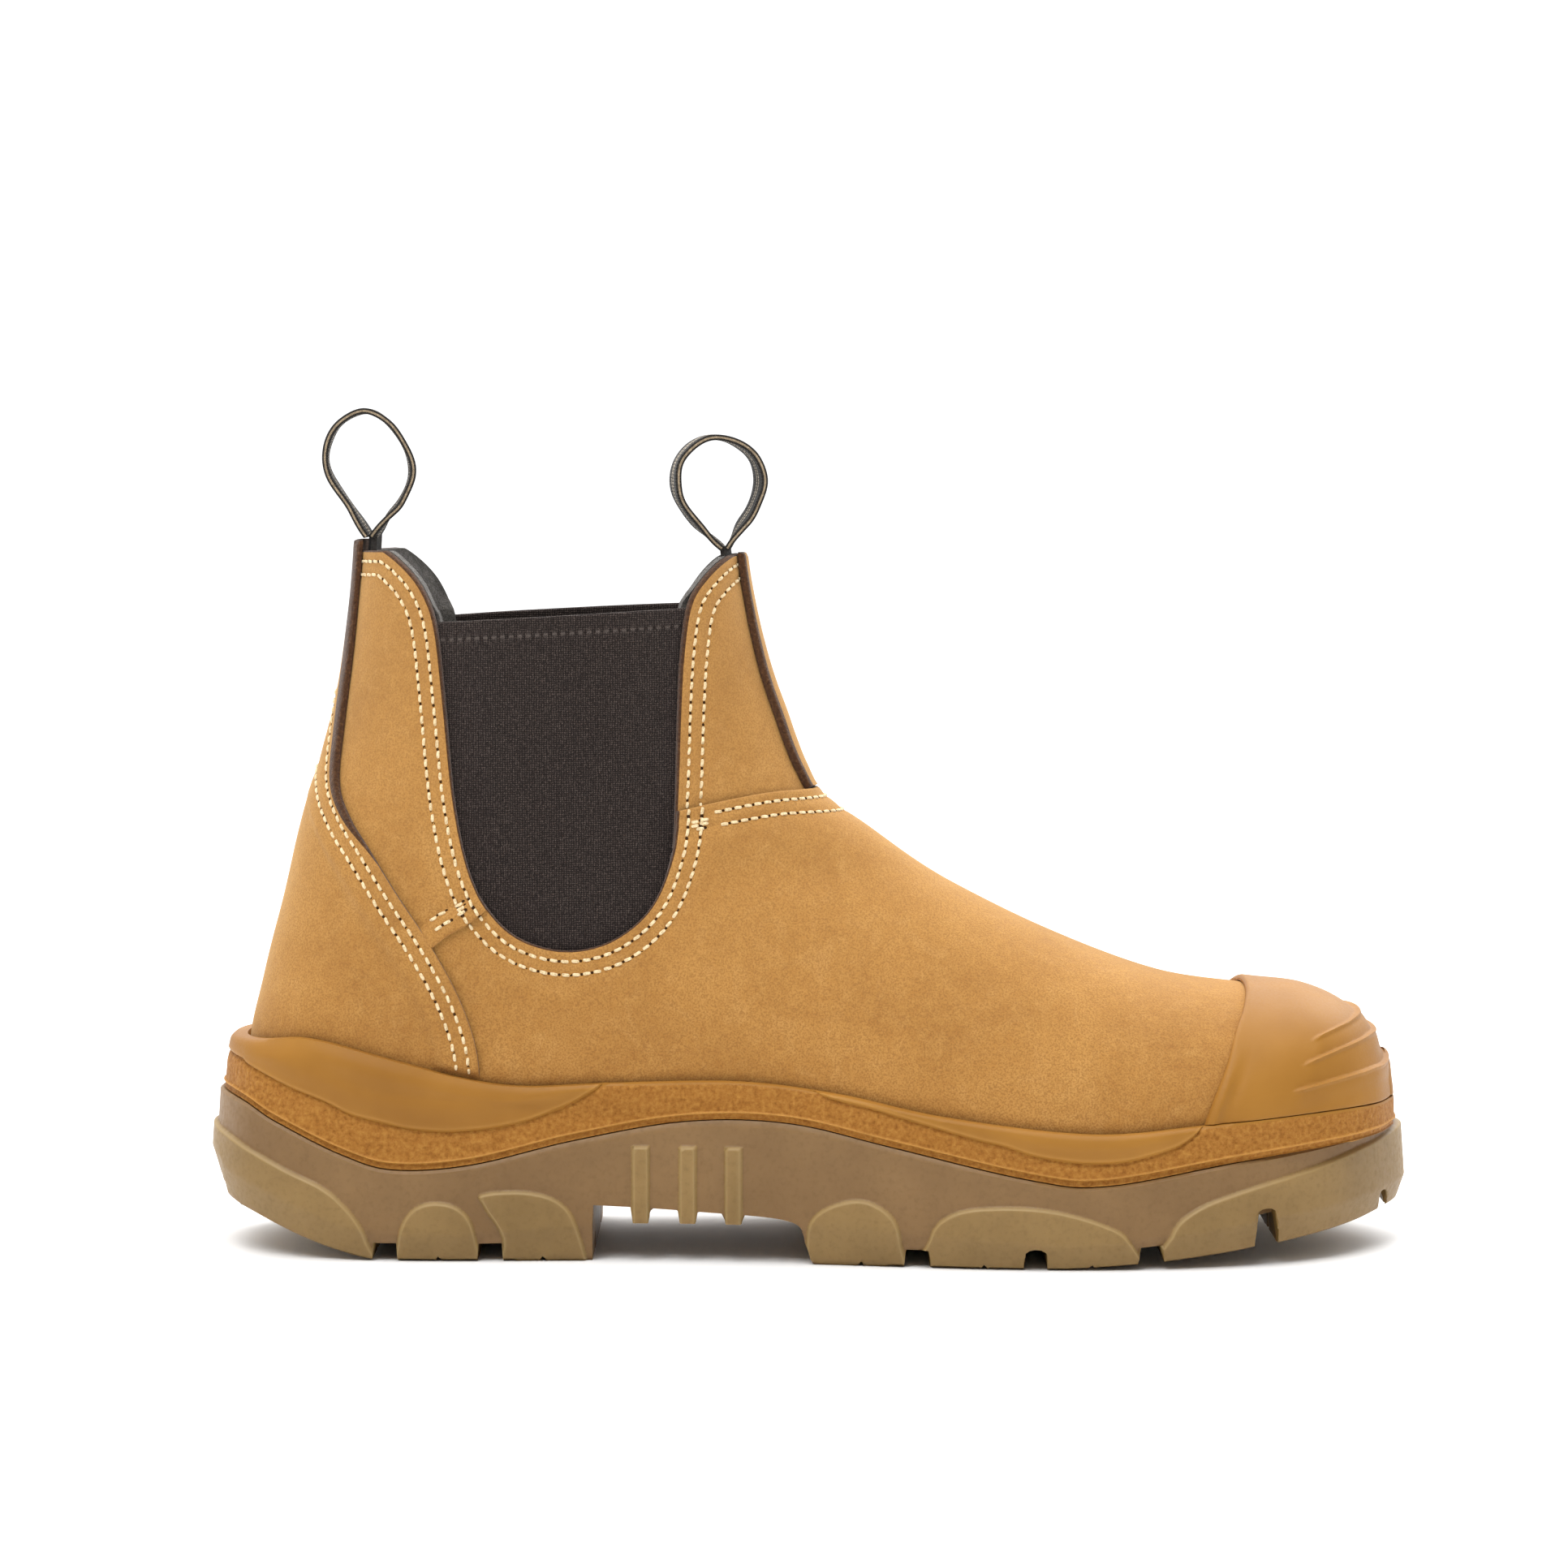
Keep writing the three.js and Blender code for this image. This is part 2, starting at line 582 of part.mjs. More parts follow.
function outsoleShape() {
  const body = (proud) =>
    soleSlab([
      { inset: 2.2 - proud, height: tread },
      { inset: -proud, height: mixed(tread, outsoleTop, 0.3) },
      { inset: 1 - proud, height: raised(outsoleTop, 1) },
    ]).intersect(between(null, raised(outsoleTop, -gap / 2), facets.soleLine));
  let sole = body(0).subtract(prism(stretched(waist)));
  const proudBody = body(lugProud);
  for (const lug of lugOutlines) sole = sole.add(proudBody.intersect(prism(stretched(lug))));
  for (const middle of waistRibs) {
    const rib = prism(upright(middle * sx, waistRibWide, 10 * sz, 30 * sz));
    sole = sole.add(proudBody.intersect(rib));
  }
  const grooves = grooveMiddles.map((middle) => upright(middle * sx, grooveWidth, reach.low, grooveDepth));
  for (const { at, wide, top } of notches) grooves.push(upright(at * sx, wide, reach.low, top * sz));
  for (const outline of grooves) sole = sole.subtract(prism(outline));
  const channel = between(null, raised(tread, grooveDepth));
  for (const side of [-1, 1]) {
    const [from, to] = [channelSide * sy, channelSide * sy + channelWidth].map((y) => y * side).sort((a, b) => a - b);
    const strip = prism(upright(bootLength / 2, channelLength, reach.low, reach.high), from, to);
    sole = sole.subtract(channel.intersect(strip));
  }
  const cup = soleSlab([
    { inset: outsoleWall, height: cupFloor },
    { inset: outsoleWall, height: raised(outsoleTop, 5) },
  ]);
  return mainBody(sole.subtract(cup).subtract(upperRoom(2 * gap)));
}

// Room that the sole unit leaves for the foot of the upper.
function upperRoom(clearance) {
  return lasted(clearance).intersect(between(raised(seat, boardRise - gap), null));
}

const shankLine = raised(seat, boardRise - gap);

function shankOutline(grow) {
  const from = shankSize.rear * sx - grow;
  const to = shankSize.front * sx + grow;
  const xs = Array.from({ length: 9 }, (_, i) => from + ((to - from) * i) / 8);
  const high = xs.map((x) => [x, shankLine(x) - gap + grow]);
  const low = xs.map((x) => [x, shankLine(x) - gap - shankSize.thick - grow]);
  return prism([...low, ...high.reverse()], -shankSize.width / 2 - grow, shankSize.width / 2 + grow);
}

function midsoleShape() {
  const band = between(raised(outsoleTop, gap / 2), midsoleTop, facets.soleLine);
  const wall = soleSlab([
    { inset: 2.2, height: raised(outsoleTop, -1) },
    { inset: 2.8, height: mixed(outsoleTop, midsoleTop, 0.5) },
    { inset: 4.6, height: raised(midsoleTop, 1) },
  ]).intersect(band);
  const plug = soleSlab([
    { inset: outsoleWall + gap, height: raised(cupFloor, 3 * gap) },
    { inset: outsoleWall + gap, height: raised(outsoleTop, 3) },
  ]);
  const sleeve = lasted(soleWall).intersect(band);
  return mainBody(wall.add(plug).add(sleeve).subtract(upperRoom(gap)).subtract(shankOutline(gap)));
}

// ---- Inside the boot ----

function insoleBoardShape() {
  const slice = between(raised(seat, boardRise), raised(seat, boardRise + boardThick));
  return mainBody(lasted(leatherIn - gap).intersect(slice));
}

const footbedFoot = raised(seat, boardRise + boardThick + 2 * gap);
const cushionMiddle = 48;

function cushionOutline(grow) {
  const points = Array.from({ length: 20 }, (_, i) => {
    const angle = (2 * Math.PI * i) / 20;
    return new THREE.Vector2(
      cushionMiddle * sx + Math.cos(angle) * (cushionHalf.long + grow),
      Math.sin(angle) * (cushionHalf.wide + grow),
    );
  });
  const depth = bootHeight;
  return solidOf(new THREE.ExtrudeGeometry(new THREE.Shape(points), { depth, bevelEnabled: false }));
}

function footbedShape() {
  const slice = between(footbedFoot, raised(footbedFoot, footbedThick));
  const cushionRoom = cushionOutline(gap).intersect(between(null, raised(footbedFoot, cushionThick + gap)));
  return mainBody(lasted(liningIn - footbedPlay).intersect(slice).subtract(cushionRoom));
}

function cushionShape() {
  return cushionOutline(0).intersect(between(footbedFoot, raised(footbedFoot, cushionThick)));
}

// ---- Pull loops ----

// Centre line of each loop in the side view, from its root round to its root again.
const loops = {
  rear: { root: [41.2, 184.3], spots: [[35.6, 191.5], [30.2, 200], [29.6, 206.5], [32.8, 213], [39.6, 216.3],
    [45.8, 213.2], [50.6, 206], [51.7, 199.6], [49, 193], [45.3, 188.6]] },
  front: { root: [133.2, 181.2], spots: [[125.6, 187.2], [120.9, 194.3], [120.6, 201.7], [123.9, 206.8],
    [129, 209.4], [135, 208.6], [140.4, 204.6], [142.4, 198.2], [140.4, 191.2], [136.8, 185.6]] },
};
const rootHalf = 0.85; // half the distance between the two ends of a loop at its root

function loopShape({ root, spots }) {
  const line = curve([[root[0] - rootHalf / sx, root[1]], ...spots, [root[0] + rootHalf / sx, root[1]]], 26);
  const outer = shifted(line, webbingThick / 2);
  const inner = shifted(line, -webbingThick / 2).slice(1, -1);
  const width = [-webbingWide / 2, webbingWide / 2];
  return mainBody(prism(outer, ...width).subtract(prism(inner, ...width)));
}

function tailShape({ root }, outline) {
  const top = root[1] * sz - loopClear;
  const slice = between(() => top - tailLength, () => top);
  const across = prism(outline, -webbingWide / 2, webbingWide / 2);
  return mainBody(layer(coreOut - tailThick, coreOut).intersect(slice).intersect(across));
}

const stretch = (rear, front) => [[rear, reach.low], [front, reach.low], [front, reach.high], [rear, reach.high]];

// ---- Stitching ----

const collarRow = { rear: 45, front: 137.4 }; // clear of the stays at the two tips
const counterRowTop = 179;
const throatRowRear = 132; // clear of the rows round the elastic

// A run of thread lying along a line, on top of the leather level given.
function thread(line, from, level, y0, y1) {
  const run = prism(ribbon(line, from, from + threadWide), y0, y1);
  return layer(level + gap, level + gap + threadHigh).intersect(run);
}

const sideSpan = (side, from) => (side < 0 ? [-bootWidth, -from] : [from, bootWidth]);

function collarThread(side, from) {
  const run = thread(collar, from, 0, ...sideSpan(side, stayHalfWidth + gap));
  return mainBody(run.intersect(prism(stretch(collarRow.rear * sx, collarRow.front * sx))));
}

function counterThread(side, from) {
  const run = thread(counterEdge, -from - threadWide, lapOut, ...sideSpan(side, gap));
  const span = between(raised(midsoleTop, gap), () => counterRowTop * sz);
  return mainBody(run.intersect(span));
}

function throatThread(from) {
  const run = thread(throat, -from - threadWide, lapOut, -bootWidth, bootWidth);
  return mainBody(run.intersect(prism(stretch(throatRowRear * sx, reach.front))));
}

// ---- Materials and assembly ----

const surface = (color, roughness, metalness = 0) => new THREE.MeshStandardMaterial({ color, roughness, metalness });
const looks = {
  nubuck: surface(0xc99a5b, 0.9),
  polyurethane: surface(0xc68b3f, 0.55),
  rubber: surface(0x9a7f55, 0.6),
  elastic: surface(0x362d2b, 0.95),
  webbing: surface(0x2c2724, 0.9),
  lining: surface(0x8c857a, 1),
  fibre: surface(0xb9ab92, 0.95),
  foam: surface(0x3f4448, 0.95),
  steel: surface(0xa8abae, 0.35, 0.9),
  stiffener: surface(0xd8d2c4, 0.9),
  strip: surface(0x26282a, 0.8),
  thread: surface(0xead7ae, 0.85),
};

const boot = new THREE.Group();
boot.name = "steel_toe_work_boot";

function add(name, look, solid) {
  const mesh = solid.getMesh();
  const geometry = new THREE.BufferGeometry();
  geometry.setAttribute("position", new THREE.BufferAttribute(new Float32Array(mesh.vertProperties), 3));
  geometry.setIndex(new THREE.BufferAttribute(new Uint32Array(mesh.triVerts), 1));
  geometry.computeVertexNormals();
  const piece = new THREE.Mesh(geometry, looks[look]);
  piece.name = name;
  boot.add(piece);
}

add("outsole", "rubber", outsoleShape());
add("midsole", "polyurethane", midsoleShape());
add("shank", "steel", shankOutline(0));
add("insole_board", "fibre", insoleBoardShape());
add("footbed", "foam", footbedShape());
add("heel_cushion", "strip", cushionShape());
add("steel_toe_cap", "steel", steelCapShape());
add("toe_cap_edge_strip", "strip", capStripShape());
add("bump_cap", "polyurethane", bumpCapShape());
add("counter_stiffener", "stiffener", stiffenerShape());
add("vamp", "nubuck", vampShape());
add("heel_counter_cover", "nubuck", counterCoverShape());
add("front_stay", "nubuck", frontStayShape());
add("vamp_lining", "lining", vampLiningShape());
add("front_lining", "lining", frontLiningShape());
add("rear_lining", "lining", rearLiningShape());
add("loop_tail_rear", "webbing", tailShape(loops.rear, stretch(reach.rear, shaftMiddle)));
add("loop_tail_front", "webbing", tailShape(loops.front, stretch(shaftMiddle, reach.front)));
add("pull_loop_rear", "webbing", loopShape(loops.rear));
add("pull_loop_front", "webbing", loopShape(loops.front));

for (const [word, side] of [["lateral", -1], ["medial", 1]]) {
  const panels = layer(leatherIn, 0);
  const quarters = panels.intersect(prism(quarterRegion)).subtract(prism(coverRoom));
  add(`front_panel_${word}`, "nubuck", mainBody(half(panels.intersect(prism(panelRegion)), side)));
  add(`back_quarter_${word}`, "nubuck", mainBody(half(quarters, side)));
  add(`elastic_gusset_${word}`, "elastic", elasticShape(side));
  for (const [row, from] of [["inner", 3.1], ["outer", 6.5]]) {
    add(`collar_stitch_${row}_${word}`, "thread", collarThread(side, from));
  }
  for (const [row, from] of [["inner", 2.1], ["outer", 5.3]]) {
    add(`counter_stitch_${row}_${word}`, "thread", counterThread(side, from));
  }
}
for (const [row, from] of [["upper", 2.1], ["lower", 5.6]]) add(`throat_stitch_${row}`, "thread", throatThread(from));

// The origin is the middle of the boot's footprint, on the floor.
const box = new THREE.Box3().setFromObject(boot);
const middle = box.getCenter(new THREE.Vector3());
boot.position.set(-middle.x, -middle.y, -box.min.z);

export default boot;
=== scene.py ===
"""Looks of an elastic-sided steel toe work boot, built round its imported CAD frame.

Shapes are worked out in millimetres in the boot's drawn frame: heel at X 0, toe at +X, inner side
at +Y, floor at Z 0. make_object() turns them into the row's metres.
"""

import bmesh
import bpy
import numpy as np
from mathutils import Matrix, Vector
from mathutils.bvhtree import BVHTree


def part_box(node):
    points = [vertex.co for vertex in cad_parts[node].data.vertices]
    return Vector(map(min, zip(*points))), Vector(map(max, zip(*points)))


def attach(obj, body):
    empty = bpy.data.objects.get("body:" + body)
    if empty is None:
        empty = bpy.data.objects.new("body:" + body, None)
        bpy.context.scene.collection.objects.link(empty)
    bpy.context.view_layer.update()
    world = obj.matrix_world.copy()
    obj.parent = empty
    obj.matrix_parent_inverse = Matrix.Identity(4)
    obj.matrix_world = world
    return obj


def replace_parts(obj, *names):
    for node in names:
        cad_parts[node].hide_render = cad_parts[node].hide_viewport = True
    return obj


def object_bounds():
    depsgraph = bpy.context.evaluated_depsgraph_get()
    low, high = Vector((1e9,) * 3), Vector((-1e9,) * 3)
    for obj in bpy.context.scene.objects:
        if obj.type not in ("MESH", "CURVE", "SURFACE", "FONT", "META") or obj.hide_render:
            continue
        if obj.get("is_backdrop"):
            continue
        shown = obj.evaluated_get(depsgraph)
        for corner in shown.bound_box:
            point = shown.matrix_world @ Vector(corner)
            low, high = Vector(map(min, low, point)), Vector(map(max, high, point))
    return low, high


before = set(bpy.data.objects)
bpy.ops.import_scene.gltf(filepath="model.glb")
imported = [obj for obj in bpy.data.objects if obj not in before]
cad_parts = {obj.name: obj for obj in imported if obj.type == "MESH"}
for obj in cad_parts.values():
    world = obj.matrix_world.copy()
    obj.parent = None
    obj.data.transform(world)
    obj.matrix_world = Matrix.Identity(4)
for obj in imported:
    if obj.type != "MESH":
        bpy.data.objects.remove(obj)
cad_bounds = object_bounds()
rng = np.random.default_rng(7)

MM = 0.001
SHANK_REAR = 82.0  # where the shank starts in the drawn frame
shank_low, shank_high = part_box("shank")
SHIFT = np.array([shank_low.x / MM - SHANK_REAR, (shank_low.y + shank_high.y) / 2 / MM, 0.0])

# Layers of the upper, as distances outward from its outer leather surface.
GAP = 0.3
LEATHER_IN = -1.8
CORE_OUT = LEATHER_IN - GAP
ELASTIC = 1.5
LINING_OUT = CORE_OUT - 1.8 - GAP
LINING_IN = LINING_OUT - 1.5
LAP = 9.0  # how far one leather piece lies over the next
LAP_HIGH = 1.9
BOARD_RISE = 4.0
FOOTBED_LOW = BOARD_RISE + 2.0 + 2 * GAP
STAY_HALF = 9.0
SHOULDER = 113.0  # where the counter cover narrows to the heel stay
STITCH_ROWS = {
    "collar": (2.85, 6.25),
    "counter": (-2.55, -5.75),
    "throat": (-2.55, -6.05),
    "quarter": (1.5, -1.1),
}
QUARTER_LAP = 4.2  # how far a back quarter reaches over the vamp, below its seam line
QUARTER_HIGH = 1.5
SHAFT_MIDDLE = 100  # splits the shaft into its rear and front halves
MIDDLE_CLEAR = 3  # how near the middle plane a row of one side may come

# ---- Lines of the side view ----


def smooth_at(values, place):
    """Points at fractional places on the smooth curve through the values."""
    values = np.asarray(values, float)
    place = np.atleast_1d(place)
    i = np.clip(place.astype(int), 0, len(values) - 2)
    t = (place - i)[:, None]
    a, b, c, d = (values[np.clip(i + k, 0, len(values) - 1)] for k in (-1, 0, 1, 2))
    return b + 0.5 * t * (c - a + t * (2 * a - 5 * b + 4 * c - d + t * (3 * (b - c) + d - a)))


def curve(points, per_span=8):
    spans = len(points) - 1
    return smooth_at(points, np.linspace(0, spans, spans * per_span + 1))


def height_along(points):
    line = curve(points)
    return lambda x: np.interp(x, line[:, 0], line[:, 1])


seat = height_along([
    [-30, 27.5], [40, 27.5], [85, 27.5], [130, 24.5], [170, 19],
    [205, 16.5], [238, 17.5], [266, 20], [284, 22.3], [300, 25], [340, 29],
])
midsole_top = height_along([
    [-30, 54], [9, 54.5], [27, 56], [49, 51], [66, 46.6], [82, 44.4], [106, 45.4], [137, 46],
    [163, 43.2], [189, 38], [226, 34], [255, 36], [287, 38.6], [307, 39], [340, 39],
])
outsole_top = height_along([
    [-30, 41], [3.4, 40.5], [18, 34.7], [36, 26.7], [49, 23.2], [69, 24.6], [95, 30.8],
    [124, 35.9], [150, 35.8], [176, 30.3], [211, 22.6], [230, 21.2], [265, 26.9], [307, 31.6], [340, 32],
])
roll = height_along([
    [-30, 22], [0, 19], [5, 13.6], [14, 10], [26, 5.2], [36, 2], [46, -0.2], [70, -3], [120, -3], [170, -3],
    [215, -0.3], [238, 1.2], [257, 3.2], [274, 5.6], [294, 8.6], [310, 11.2], [340, 14],
])
waist_rise = height_along([
    [-30, 0], [80, 0], [92, 2], [99, 12], [110, 14], [135, 12.5], [150, 10.5], [158, 4], [168, 0], [340, 0],
])
heel_crescent = height_along([
    [-30, 53], [5, 50], [11, 48], [22, 43.5], [31, 40.3], [38, 37], [46, 35], [53, 33.5], [62, 32.8],
    [72, 33.5], [82, 35.3], [91, 38.6], [98, 42.3], [104, 47], [112, 60],
])
front_crescent = height_along([
    [150, 60], [155, 45], [172, 39.5], [196, 32.8], [204, 31], [211, 28.7], [219, 27.3], [226, 26.7],
    [234, 27.1], [241, 28.7], [249, 31.6], [255, 37], [262, 50],
])

collar = curve([
    [139.5, 179.6], [134.7, 178.8], [128.5, 173.3], [124.5, 166.5], [122.6, 154], [121.7, 138],
    [121, 118], [119.8, 103], [114.6, 90], [105, 81.8], [93.5, 79], [82, 81.7], [74, 88.5],
    [68.5, 99], [64.6, 117], [61.9, 142], [59.6, 161], [56.2, 170.3], [50.8, 176.8],
    [43.5, 181.6], [36, 182.6],
])
throat = curve([[112, 112], [124, 114.6], [135, 116.6], [147, 118], [159, 117.6], [178, 116.4]])
counter_edge = curve([
    [41, 192], [39.6, 178], [37.6, 156], [35.2, 135], [34.4, 121], [37.5, 112.5], [43, 104.2],
    [50.3, 92.8], [58.5, 80.4], [65.7, 67], [69.9, 54.6], [71, 44], [71.4, 34], [71.5, 20],
])
quarter_seam = curve([[46, 75], [55, 82], [61, 86.6], [66, 89.4], [73, 95]])
cap_edge = curve([
    [270.4, 84], [269.4, 70], [266.8, 63.5], [263.5, 57.5], [260.6, 50], [257, 42], [254, 34], [250, 20],
])
heel_join = curve([[66, 200], [64, 160], [70, 110], [82, 70], [86, 20]])


def elastic_top(x):
    return np.interp(x, [59.5, 123.5], [162.6, 165.9])


def tread(x):
    return np.maximum(roll(x), 0)


def from_line(line, spots):
    """Distance of side-view spots from a line, positive on the left of its direction."""
    best = np.full(len(spots), np.inf)
    signed = np.zeros(len(spots))
    last = len(line) - 2
    for i in range(last + 1):
        start, along = line[i], line[i + 1] - line[i]
        away = spots - start
        share = away @ along / (along @ along)
        low = -np.inf if i == 0 else 0.0
        high = np.inf if i == last else 1.0
        share = np.clip(share, low, high)
        off = away - share[:, None] * along
        distance = np.hypot(off[:, 0], off[:, 1])
        nearer = distance < best
        turn = along[0] * away[:, 1] - along[1] * away[:, 0]
        signed = np.where(nearer, np.where(turn >= 0, distance, -distance), signed)
        best = np.where(nearer, distance, best)
    return signed


def within(outline, spots):
    """Distance of side-view spots from a closed outline, positive inside it."""
    outline = np.asarray(outline, float)
    best = np.full(len(spots), np.inf)
    inside = np.zeros(len(spots), bool)
    for start, end in zip(outline, np.roll(outline, -1, axis=0)):
        along = end - start
        away = spots - start
        share = np.clip(away @ along / (along @ along), 0, 1)
        off = away - share[:, None] * along
        best = np.minimum(best, np.hypot(off[:, 0], off[:, 1]))
        straddles = (start[1] > spots[:, 1]) != (end[1] > spots[:, 1])
        if along[1] != 0:
            crossing = start[0] + (spots[:, 1] - start[1]) * along[0] / along[1]
            inside ^= straddles & (spots[:, 0] < crossing)
    return np.where(inside, best, -best)


def ease(share):
    share = np.clip(share, 0, 1)
    return share * share * (3 - 2 * share)


# ---- Surfaces ----


def joined(*columns):
    return np.stack(columns, axis=1)


class Surface:
    """Triangles with a unit normal at each point, which can be cut along any field's zero line."""

    def __init__(self, points, faces, normals=None):
        self.points = points
        self.faces = faces
        self.normals = self.vertex_normals() if normals is None else normals

    def vertex_normals(self):
        corners = self.points[self.faces]
        flat = np.cross(corners[:, 1] - corners[:, 0], corners[:, 2] - corners[:, 0])
        total = np.zeros_like(self.points)
        for k in range(3):
            np.add.at(total, self.faces[:, k], flat)
        return total / np.maximum(np.linalg.norm(total, axis=1, keepdims=True), 1e-12)

    def crossings(self, values):
        """Which edges of each triangle the zero line crosses, and the new point on each."""
        faces, count = self.faces, len(self.points)
        ends = np.sort(np.stack([faces, np.roll(faces, -1, axis=1)], axis=2), axis=2)
        crossed = values[ends[..., 0]] * values[ends[..., 1]] < 0
        keys, place = np.unique(ends[crossed] @ np.array([count, 1]), return_inverse=True)
        a, b = keys // count, keys % count
        share = (values[a] / (values[a] - values[b]))[:, None]
        points = self.points[a] + (self.points[b] - self.points[a]) * share
        normals = self.normals[a] + (self.normals[b] - self.normals[a]) * share
        normals /= np.linalg.norm(normals, axis=1, keepdims=True)
        middle = np.full(crossed.shape, -1)
        middle[crossed] = place.ravel()
        return crossed, middle, points, normals

    def split(self, field, *levels):
        """The same surface with points all along the lines where the field has these values."""
        surface = self
        for level in levels or (0,):
            values = field(surface.points) - level
            values = np.where(np.abs(values) < 0.01, 0.0, values)
            crossed, middle, points, normals = surface.crossings(values)
            middle = middle + len(surface.points)
            faces = surface.faces
            parts = [faces[~crossed.any(axis=1)]]
            for k in range(3):
                a, b, c = faces[:, k], faces[:, (k + 1) % 3], faces[:, (k + 2) % 3]
                p, q = middle[:, k], middle[:, (k + 1) % 3]
                two = crossed[:, k] & crossed[:, (k + 1) % 3]
                one = crossed[:, k] & ~crossed[:, (k + 1) % 3] & ~crossed[:, (k + 2) % 3]
                parts += [joined(p, b, q)[two], joined(a, p, q)[two], joined(a, q, c)[two]]
                parts += [joined(a, p, c)[one], joined(p, b, c)[one]]
            surface = Surface(
                np.vstack([surface.points, points]), np.vstack(parts), np.vstack([surface.normals, normals])
            )
        return surface

    def keep(self, field):
        """Only what lies where the field is positive, cut exactly along its zero line."""
        surface = self.split(field)
        values = field(surface.points)
        values = np.where(np.abs(values) < 0.01, 0.0, values)
        faces = surface.faces[values[surface.faces].sum(axis=1) > 0]
        used, faces = np.unique(faces, return_inverse=True)
        return Surface(surface.points[used], faces.reshape(-1, 3), surface.normals[used])

    def lines_at(self, field, level):
        """The lines where the field has this value, each as points and their normals."""
        values = field(self.points) - level
        values = np.where(values == 0, 1e-9, values)
        crossed, middle, points, normals = self.crossings(values)
        links = {}
        for ids in middle[crossed.any(axis=1)]:
            a, b = ids[ids >= 0]
            links.setdefault(a, []).append(b)
            links.setdefault(b, []).append(a)
        lines = []
        ends = [a for a, near in links.items() if len(near) == 1]
        for start in ends + list(links):
            if start not in links:
                continue
            order = [start]
            while order[-1] in links:
                onward = [b for b in links.pop(order[-1]) if b in links]
                if not onward:
                    break
                order.append(onward[0])
            if len(order) > 3:
                lines.append((points[order], normals[order]))
        return lines

    def rim(self):
        """Edges with a triangle on one side only, in that triangle's direction."""
        count = len(self.points)
        edges = np.vstack([self.faces[:, [0, 1]], self.faces[:, [1, 2]], self.faces[:, [2, 0]]])
        forward = edges @ np.array([count, 1])
        backward = edges[:, ::-1] @ np.array([count, 1])
        return edges[~np.isin(forward, backward)]


def grid_faces(rows, columns, closed=False):
    i = np.arange(rows - 1)[:, None]
    j = np.arange(columns if closed else columns - 1)[None, :]
    a = i * columns + j
    b = i * columns + (j + 1) % columns
    c, d = a + columns, b + columns
    return np.vstack([joined(a.ravel(), b.ravel(), d.ravel()), joined(a.ravel(), d.ravel(), c.ravel())])


# ---- The lasted surface ----

# Cross-sections from the toe to the collar: top X and Z, base X and Z, half widths of the outer and
# inner side, share of the way down where it is broadest, and how square it is above and below that.
STATIONS = np.array([
    [302.6, 47, 303, 27.5, 16, 19, 0.6, 2.2, 2.6],
    [297.5, 56, 297.5, 24.6, 28.5, 31, 0.66, 2.3, 3.2],
    [288, 62.3, 286, 22.6, 38, 40, 0.7, 2.3, 3.7],
    [272, 66.2, 266, 20, 45, 46.5, 0.72, 2.3, 4],
    [246, 70.4, 238, 17.5, 49.5, 49.5, 0.74, 2.2, 4],
    [215, 82.3, 205, 16.5, 49, 47.5, 0.75, 2.05, 4],
    [185, 97.6, 170, 19, 44.5, 41, 0.74, 2, 4],
    [166.5, 108.8, 130, 24.5, 38.5, 35, 0.7, 2, 4],
    [156.8, 116.5, 85, 27.5, 36, 33, 0.66, 2, 4],
    [152.6, 124, 42, 27.5, 35.5, 34, 0.64, 2, 3.6],
    [149.8, 131, 20, 28.4, 35.5, 34.5, 0.64, 2, 2.9],
    [147.4, 138, 9.3, 48, 35.2, 34.5, 0.62, 2, 2.5],
    [144.8, 145, 12.6, 70, 34.8, 34.2, 0.6, 2, 2.3],
    [142.3, 153, 21, 101, 34.2, 33.8, 0.57, 2, 2.2],
    [139.6, 164, 31.4, 134, 33.6, 33.3, 0.54, 2.05, 2.1],
    [137.3, 177, 37, 166, 33.2, 33, 0.53, 2.1, 2.1],
    [135.6, 194, 39, 193, 33, 33, 0.53, 2.1, 2.1],
])
TOE_TIP = np.array([304.4, 0.0, 36.0])
RING_HALF = 90
RINGS_PER_STATION = 14
NOSE_RINGS = 8


def evenly(points, count):
    steps = np.linalg.norm(np.diff(points, axis=0), axis=1)
    run = np.concatenate([[0], np.cumsum(steps)])
    goal = np.linspace(0, run[-1], count)
    return np.stack([np.interp(goal, run, points[:, k]) for k in range(points.shape[1])], axis=1)


def section_half(width, side, top, base, widest, crown, foot):
    angle = np.linspace(0, np.pi, 181)
    upper = angle < np.pi / 2
    power = 2 / np.where(upper, crown, foot)
    down = np.abs(np.cos(angle)) ** power
    down = np.where(upper, widest * (1 - down), widest + (1 - widest) * down)
    out = width * np.abs(np.sin(angle)) ** power
    points = top + (base - top) * down[:, None]
    points[:, 1] = side * out
    return evenly(points, RING_HALF + 1)


def section_ring(place):
    value = smooth_at(STATIONS, place)[0]
    top = np.array([value[0], 0, value[1]])
    base = np.array([value[2], 0, value[3]])
    lateral = section_half(value[4], -1, top, base, *value[6:])
    medial = section_half(value[5], 1, top, base, *value[6:])
    return np.vstack([lateral, medial[-2:0:-1]])


